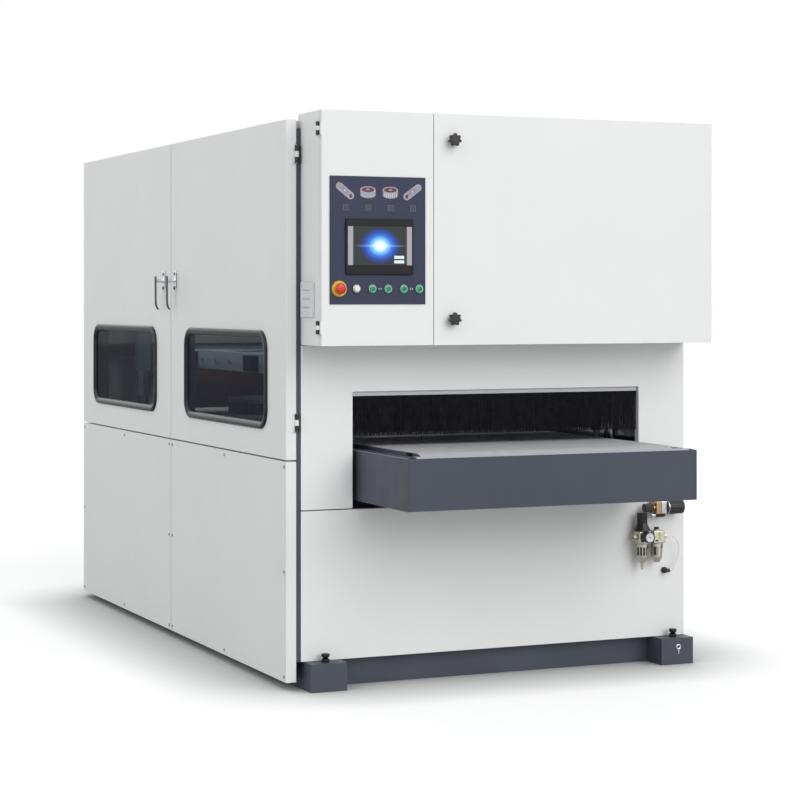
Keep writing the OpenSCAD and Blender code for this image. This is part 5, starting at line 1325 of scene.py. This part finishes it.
class SANDER_OT_drives(bpy.types.Operator):
    """Builds the motors, belt cases, lift columns, head frame and electrical parts."""

    bl_idname = "sander.drives"
    bl_label = "Motors and frames"

    def execute(self, context):
        self.brush_motors()
        self.gearmotor()
        sorted_parts("lift_columns", lambda size: "machinery" if size.z < 0.3 else "chrome", 0.0015)
        dressed("head_frame", "machinery", 0.0022, smooth=40)
        self.head_details()

        def electrical_look(size):
            if size.z < 0.04 or size.x < 0.03:
                return "duct"
            return "drive_case" if size.z > 0.14 else "black"

        sorted_parts("electrical_components", electrical_look, 0.0018)
        return {"FINISHED"}

    def head_details(self):
        """Junction boxes and bolts on the head's left beam."""
        face = HEAD_BEAM_FACE
        places = (-0.735, -0.395, 0.395, 0.735)
        boxes, bolts = [], []
        for y in places:
            boxes.append(slab((face - 0.03, y - 0.055, 1.156), (face, y + 0.055, 1.222), 0.003))
            for dy in (-0.042, 0.042):
                bolts.append(turned(((-0.028, 0.0045), (-0.0315, 0.0042), (-0.0325, 0.0028)),
                                    (0, y + dy, 1.168), "X", 14, face))
        for k in range(14):
            y = -1.17 + k * 0.18
            if all(abs(y - taken) > 0.08 for taken in (-1.05, *places, 1.05)):
                bolts.append(turned(((0.001, 0.0075), (-0.005, 0.0072), (-0.0065, 0.005)),
                                    (0, y, 1.19), "X", 16, face))
        finish(boxes, "head_junction_boxes", "black", "brush_head", 36)
        finish(bolts, "head_bolts", "satin_chrome", "brush_head", 36)

    def brush_motors(self):
        node = "brush_motors"

        def look_of(size):
            if size.z > 0.4 and size.x < 0.06:
                return "guard"
            if size.x > 0.6 and size.y < 0.3:
                return "machinery"
            return "steel" if size.x < 0.12 and size.y < 0.05 else None

        sorted_parts(node, look_of, 0.003)
        painted, cowls, slots, boxes, feet = [], [], [], [], []
        for s in (-1, 1):
            y, z, radius = s * 0.9, 1.3223, 0.0797
            body, cowl = motor("X", (y, z), 0.6275, 0.3275, radius, 0.2725)
            painted += body
            cowls += cowl
            slots += grille("X", (y, z), 0.2735, radius, -1)
            for x in (0.345, 0.55):
                feet.append(slab((x, y - 0.078, 1.2305), (x + 0.06, y + 0.078, 1.256), 0.0025))
            boxes.append(slab((0.43, y - 0.05, 1.39), (0.53, y + 0.05, 1.402), 0.002))
            feet.append(turned(((0.626, 0.019), (0.702, 0.019)), (0, y, z), "X", 28))
            x, y, radius = 0.052, s * 0.32, 0.0897
            body, cowl = motor("Z", (x, y), 1.3009, 1.51, radius, 1.5648)
            painted += body
            cowls += cowl
            slots += grille("Z", (x, y), 1.564, radius, 1)
            boxes.append(slab((-0.0375, y - 0.045, 1.36), (-0.026, y + 0.045, 1.44), 0.002))
            feet.append(turned(((1.3005, 0.088), (1.307, 0.088), (1.309, 0.086)), (x, y, 0), "Z", 44))
        finish_heaps(((painted, "stators", "motor_paint"), (cowls, "cowls", "motor_paint"),
                      (slots, "grilles", "black"), (boxes, "terminal_boxes", "motor_paint"),
                      (feet, "feet_and_flanges", "machinery")), "motor_", "brush_head", 36, node)

    def gearmotor(self):
        """The conveyor's motor, with the gearbox taken from its node."""
        node = "conveyor_gearmotor"
        x, z, radius = 0.7203, 0.8217, 0.0617
        body, cowl = motor("Y", (x, z), 1.6997, 1.4747, radius, 1.4296)
        case = []
        for part in loose_parts(rounded(twin(node), 0.0001, 1)):
            if max(v.co.y for v in part.data.vertices) > 1.8:
                case.append(rounded(part, 0.006, 3, 50))
            else:
                bpy.data.objects.remove(part)
        lid = slab((x - 0.036, 1.54, 0.876), (x + 0.036, 1.62, 0.883), 0.0018)
        slots = grille("Y", (x, z), 1.4304, radius, -1)
        finish_heaps(((case, "gearbox", "motor_paint"), (body + cowl + [lid], "motor", "motor_paint"),
                      (slots, "grille", "black")), "conveyor_", "machine", 36, node)


def tuft_field(spots, name):
    """Bristle tufts, all cut from one five-sided pattern: each spot is (root, tip, thickness)."""
    shape = [(math.cos(k * math.tau / 5), math.sin(k * math.tau / 5)) for k in range(5)]
    points, faces = [], []
    for root, tip, thick in spots:
        way = (tip - root).normalized()
        side = way.orthogonal().normalized()
        other = way.cross(side)
        base = len(points)
        for place, share in ((root, 0.75), (tip, 1.0)):
            points += [tuple(place + (side * a + other * b) * thick * share) for a, b in shape]
        faces.append(tuple(base + 4 - k for k in range(5)))
        faces.append(tuple(base + 5 + k for k in range(5)))
        faces += [(base + k, base + (k + 1) % 5, base + 5 + (k + 1) % 5, base + 5 + k) for k in range(5)]
    return meshed(name, points, faces)


class SANDER_OT_brushes(bpy.types.Operator):
    """Builds the roller brushes, disc brushes, conveyor rollers and hold-down rollers."""

    bl_idname = "sander.brushes"
    bl_label = "Brushes and rollers"

    ROLLERS = (("drive_roller", 0.0749), ("idler_roller", 0.0749),
               ("front_hold_down_roller", 0.0399), ("rear_hold_down_roller", 0.0399))

    def execute(self, context):
        for node in ("front_roller_brush", "rear_roller_brush"):
            self.roller_brush(node)
        for k in range(1, 5):
            self.disc_brush("disc_brush_%d" % k)
        for node, radius in self.ROLLERS:
            self.roller(node, radius)
        return {"FINISHED"}

    def roller_brush(self, node):
        low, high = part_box(node)
        y, z = (low.y + high.y) / 2, (low.z + high.z) / 2
        rolls = random.Random(11)
        spots = []
        rings, tufts, root = 92, 40, 0.052
        for i in range(rings):
            x = -0.4685 + i * 1.041 / (rings - 1)
            for k in range(tufts):
                a = (k + 0.5 * (i % 2)) * math.tau / tufts + i * 0.045
                lean = rolls.uniform(-0.03, 0.03)
                tip = rolls.uniform(0.0878, 0.0898)
                spots.append((Vector((x, y + root * math.cos(a), z + root * math.sin(a))),
                              Vector((x + rolls.uniform(-0.003, 0.003), y + tip * math.cos(a + lean),
                                      z + tip * math.sin(a + lean))), 0.0041))
        stand_in(tuft_field(spots, node), node, "tufts", "abrasive", 50)
        core = turned(((-0.473, 0.048), (-0.472, 0.054), (0.576, 0.054), (0.577, 0.048)),
                      (0, y, z), "X", 40)
        stand_in(core, node, "core", "black", 40)
        shaft = turned(((low.x, 0.0185), (low.x + 0.0015, 0.0199), (high.x - 0.0015, 0.0199),
                        (high.x, 0.0185)),
                       (0, y, z), "X", 32)
        stand_in(shaft, node, "shaft", "chrome", 40)

    def disc_brush(self, node):
        low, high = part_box(node)
        x, y = (low.x + high.x) / 2, (low.y + high.y) / 2
        rolls = random.Random(17)
        spots = []
        for ring in range(9):
            r = 0.086 + ring * 0.018
            count = int(r * 330)
            for k in range(count):
                a = (k + 0.5 * (ring % 2)) * math.tau / count
                reach = r + rolls.uniform(0.001, 0.006) * (ring / 8)
                turn = a + rolls.uniform(-0.012, 0.012)
                spots.append((Vector((x + r * math.cos(a), y + r * math.sin(a), 0.992)),
                              Vector((x + reach * math.cos(turn), y + reach * math.sin(turn),
                                      0.9402 + rolls.uniform(0, 0.0015))), 0.0052))
        stand_in(tuft_field(spots, node), node, "tufts", "abrasive", 50)
        plate = turned(((0.99, 0.236), (0.9915, 0.2388), (1.008, 0.2388), (1.0099, 0.236), (1.0099, 0.09),
                        (1.014, 0.05), (1.016, 0.0449), (1.039, 0.0449), (1.0399, 0.043)), (x, y, 0), "Z", 72)
        stand_in(plate, node, "plate", "machinery", 34)
        shaft = turned(((1.039, 0.0199), (high.z - 0.001, 0.0199), (high.z, 0.0188)), (x, y, 0), "Z", 32)
        stand_in(shaft, node, "shaft", "chrome", 40)

    def roller(self, node, radius):
        """A rubber-covered roller; its shaft's radius and its sleeve's ends come from the node."""
        low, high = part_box(node)
        y, z = (low.y + high.y) / 2, (low.z + high.z) / 2
        reach = [(v.co.x, ((v.co.y - y) ** 2 + (v.co.z - z) ** 2) ** 0.5) for v in NODES[node].data.vertices]
        shaft_r = max(r for x, r in reach if x > high.x - 0.002)
        ends = [x for x, r in reach if r > radius * 0.9]
        x0, x1 = min(ends), max(ends)
        sleeve = turned(((x0, radius * 0.96), (x0 + 0.002, radius), (x1 - 0.002, radius),
                         (x1, radius * 0.96)),
                        (0, y, z), "X", 60)
        stand_in(sleeve, node, "sleeve", "rubber", 34)
        shaft = turned(((low.x, shaft_r * 0.93), (low.x + 0.001, shaft_r), (high.x - 0.001, shaft_r),
                        (high.x, shaft_r * 0.93)), (0, y, z), "X", 36)
        plate = turned(((-0.0004, radius * 0.55), (-0.0004, radius * 0.9), (0.001, radius * 0.92)),
                       (0, y, z), "X", 48, x0)
        stand_in([shaft, plate], node, "shaft", "steel", 34)


OPERATORS = (SANDER_OT_stage, SANDER_OT_air_tube, SANDER_OT_plain, SANDER_OT_belt, SANDER_OT_curtains,
             SANDER_OT_controls, SANDER_OT_knobs, SANDER_OT_handles, SANDER_OT_windows,
             SANDER_OT_hardware, SANDER_OT_air_unit, SANDER_OT_drives, SANDER_OT_brushes)


class SANDER_PT_panel(bpy.types.Panel):
    """Lists the machine's pieces in the 3D view's sidebar."""

    bl_idname = "SANDER_PT_panel"
    bl_label = "Brush sanding machine"
    bl_space_type = "VIEW_3D"
    bl_region_type = "UI"
    bl_category = "Sander"

    def draw(self, context):
        for group in (context.scene.sander_colours, context.scene.sander_sizes):
            for key in group.__annotations__:
                self.layout.prop(group, key)
        for operator in OPERATORS:
            self.layout.operator(operator.bl_idname)


CLASSES = (SanderColours, SanderSizes, *OPERATORS, SANDER_PT_panel)


def register():
    for kind in CLASSES:
        bpy.utils.register_class(kind)
    bpy.types.Scene.sander_colours = bpy.props.PointerProperty(type=SanderColours)
    bpy.types.Scene.sander_sizes = bpy.props.PointerProperty(type=SanderSizes)


def unregister():
    del bpy.types.Scene.sander_sizes
    del bpy.types.Scene.sander_colours
    for kind in reversed(CLASSES):
        bpy.utils.unregister_class(kind)


def main():
    register()
    mix_finishes(bpy.context.scene.sander_colours)
    for name, node in NODES.items():
        node.data.materials.clear()
        node.data.materials.append(FINISH["machinery"])
    for operator in OPERATORS:
        group, name = operator.bl_idname.split(".")
        if getattr(getattr(bpy.ops, group), name)() != {"FINISHED"}:
            raise RuntimeError(operator.bl_label + " wasn't finished")


if __name__ == "__main__":
    main()
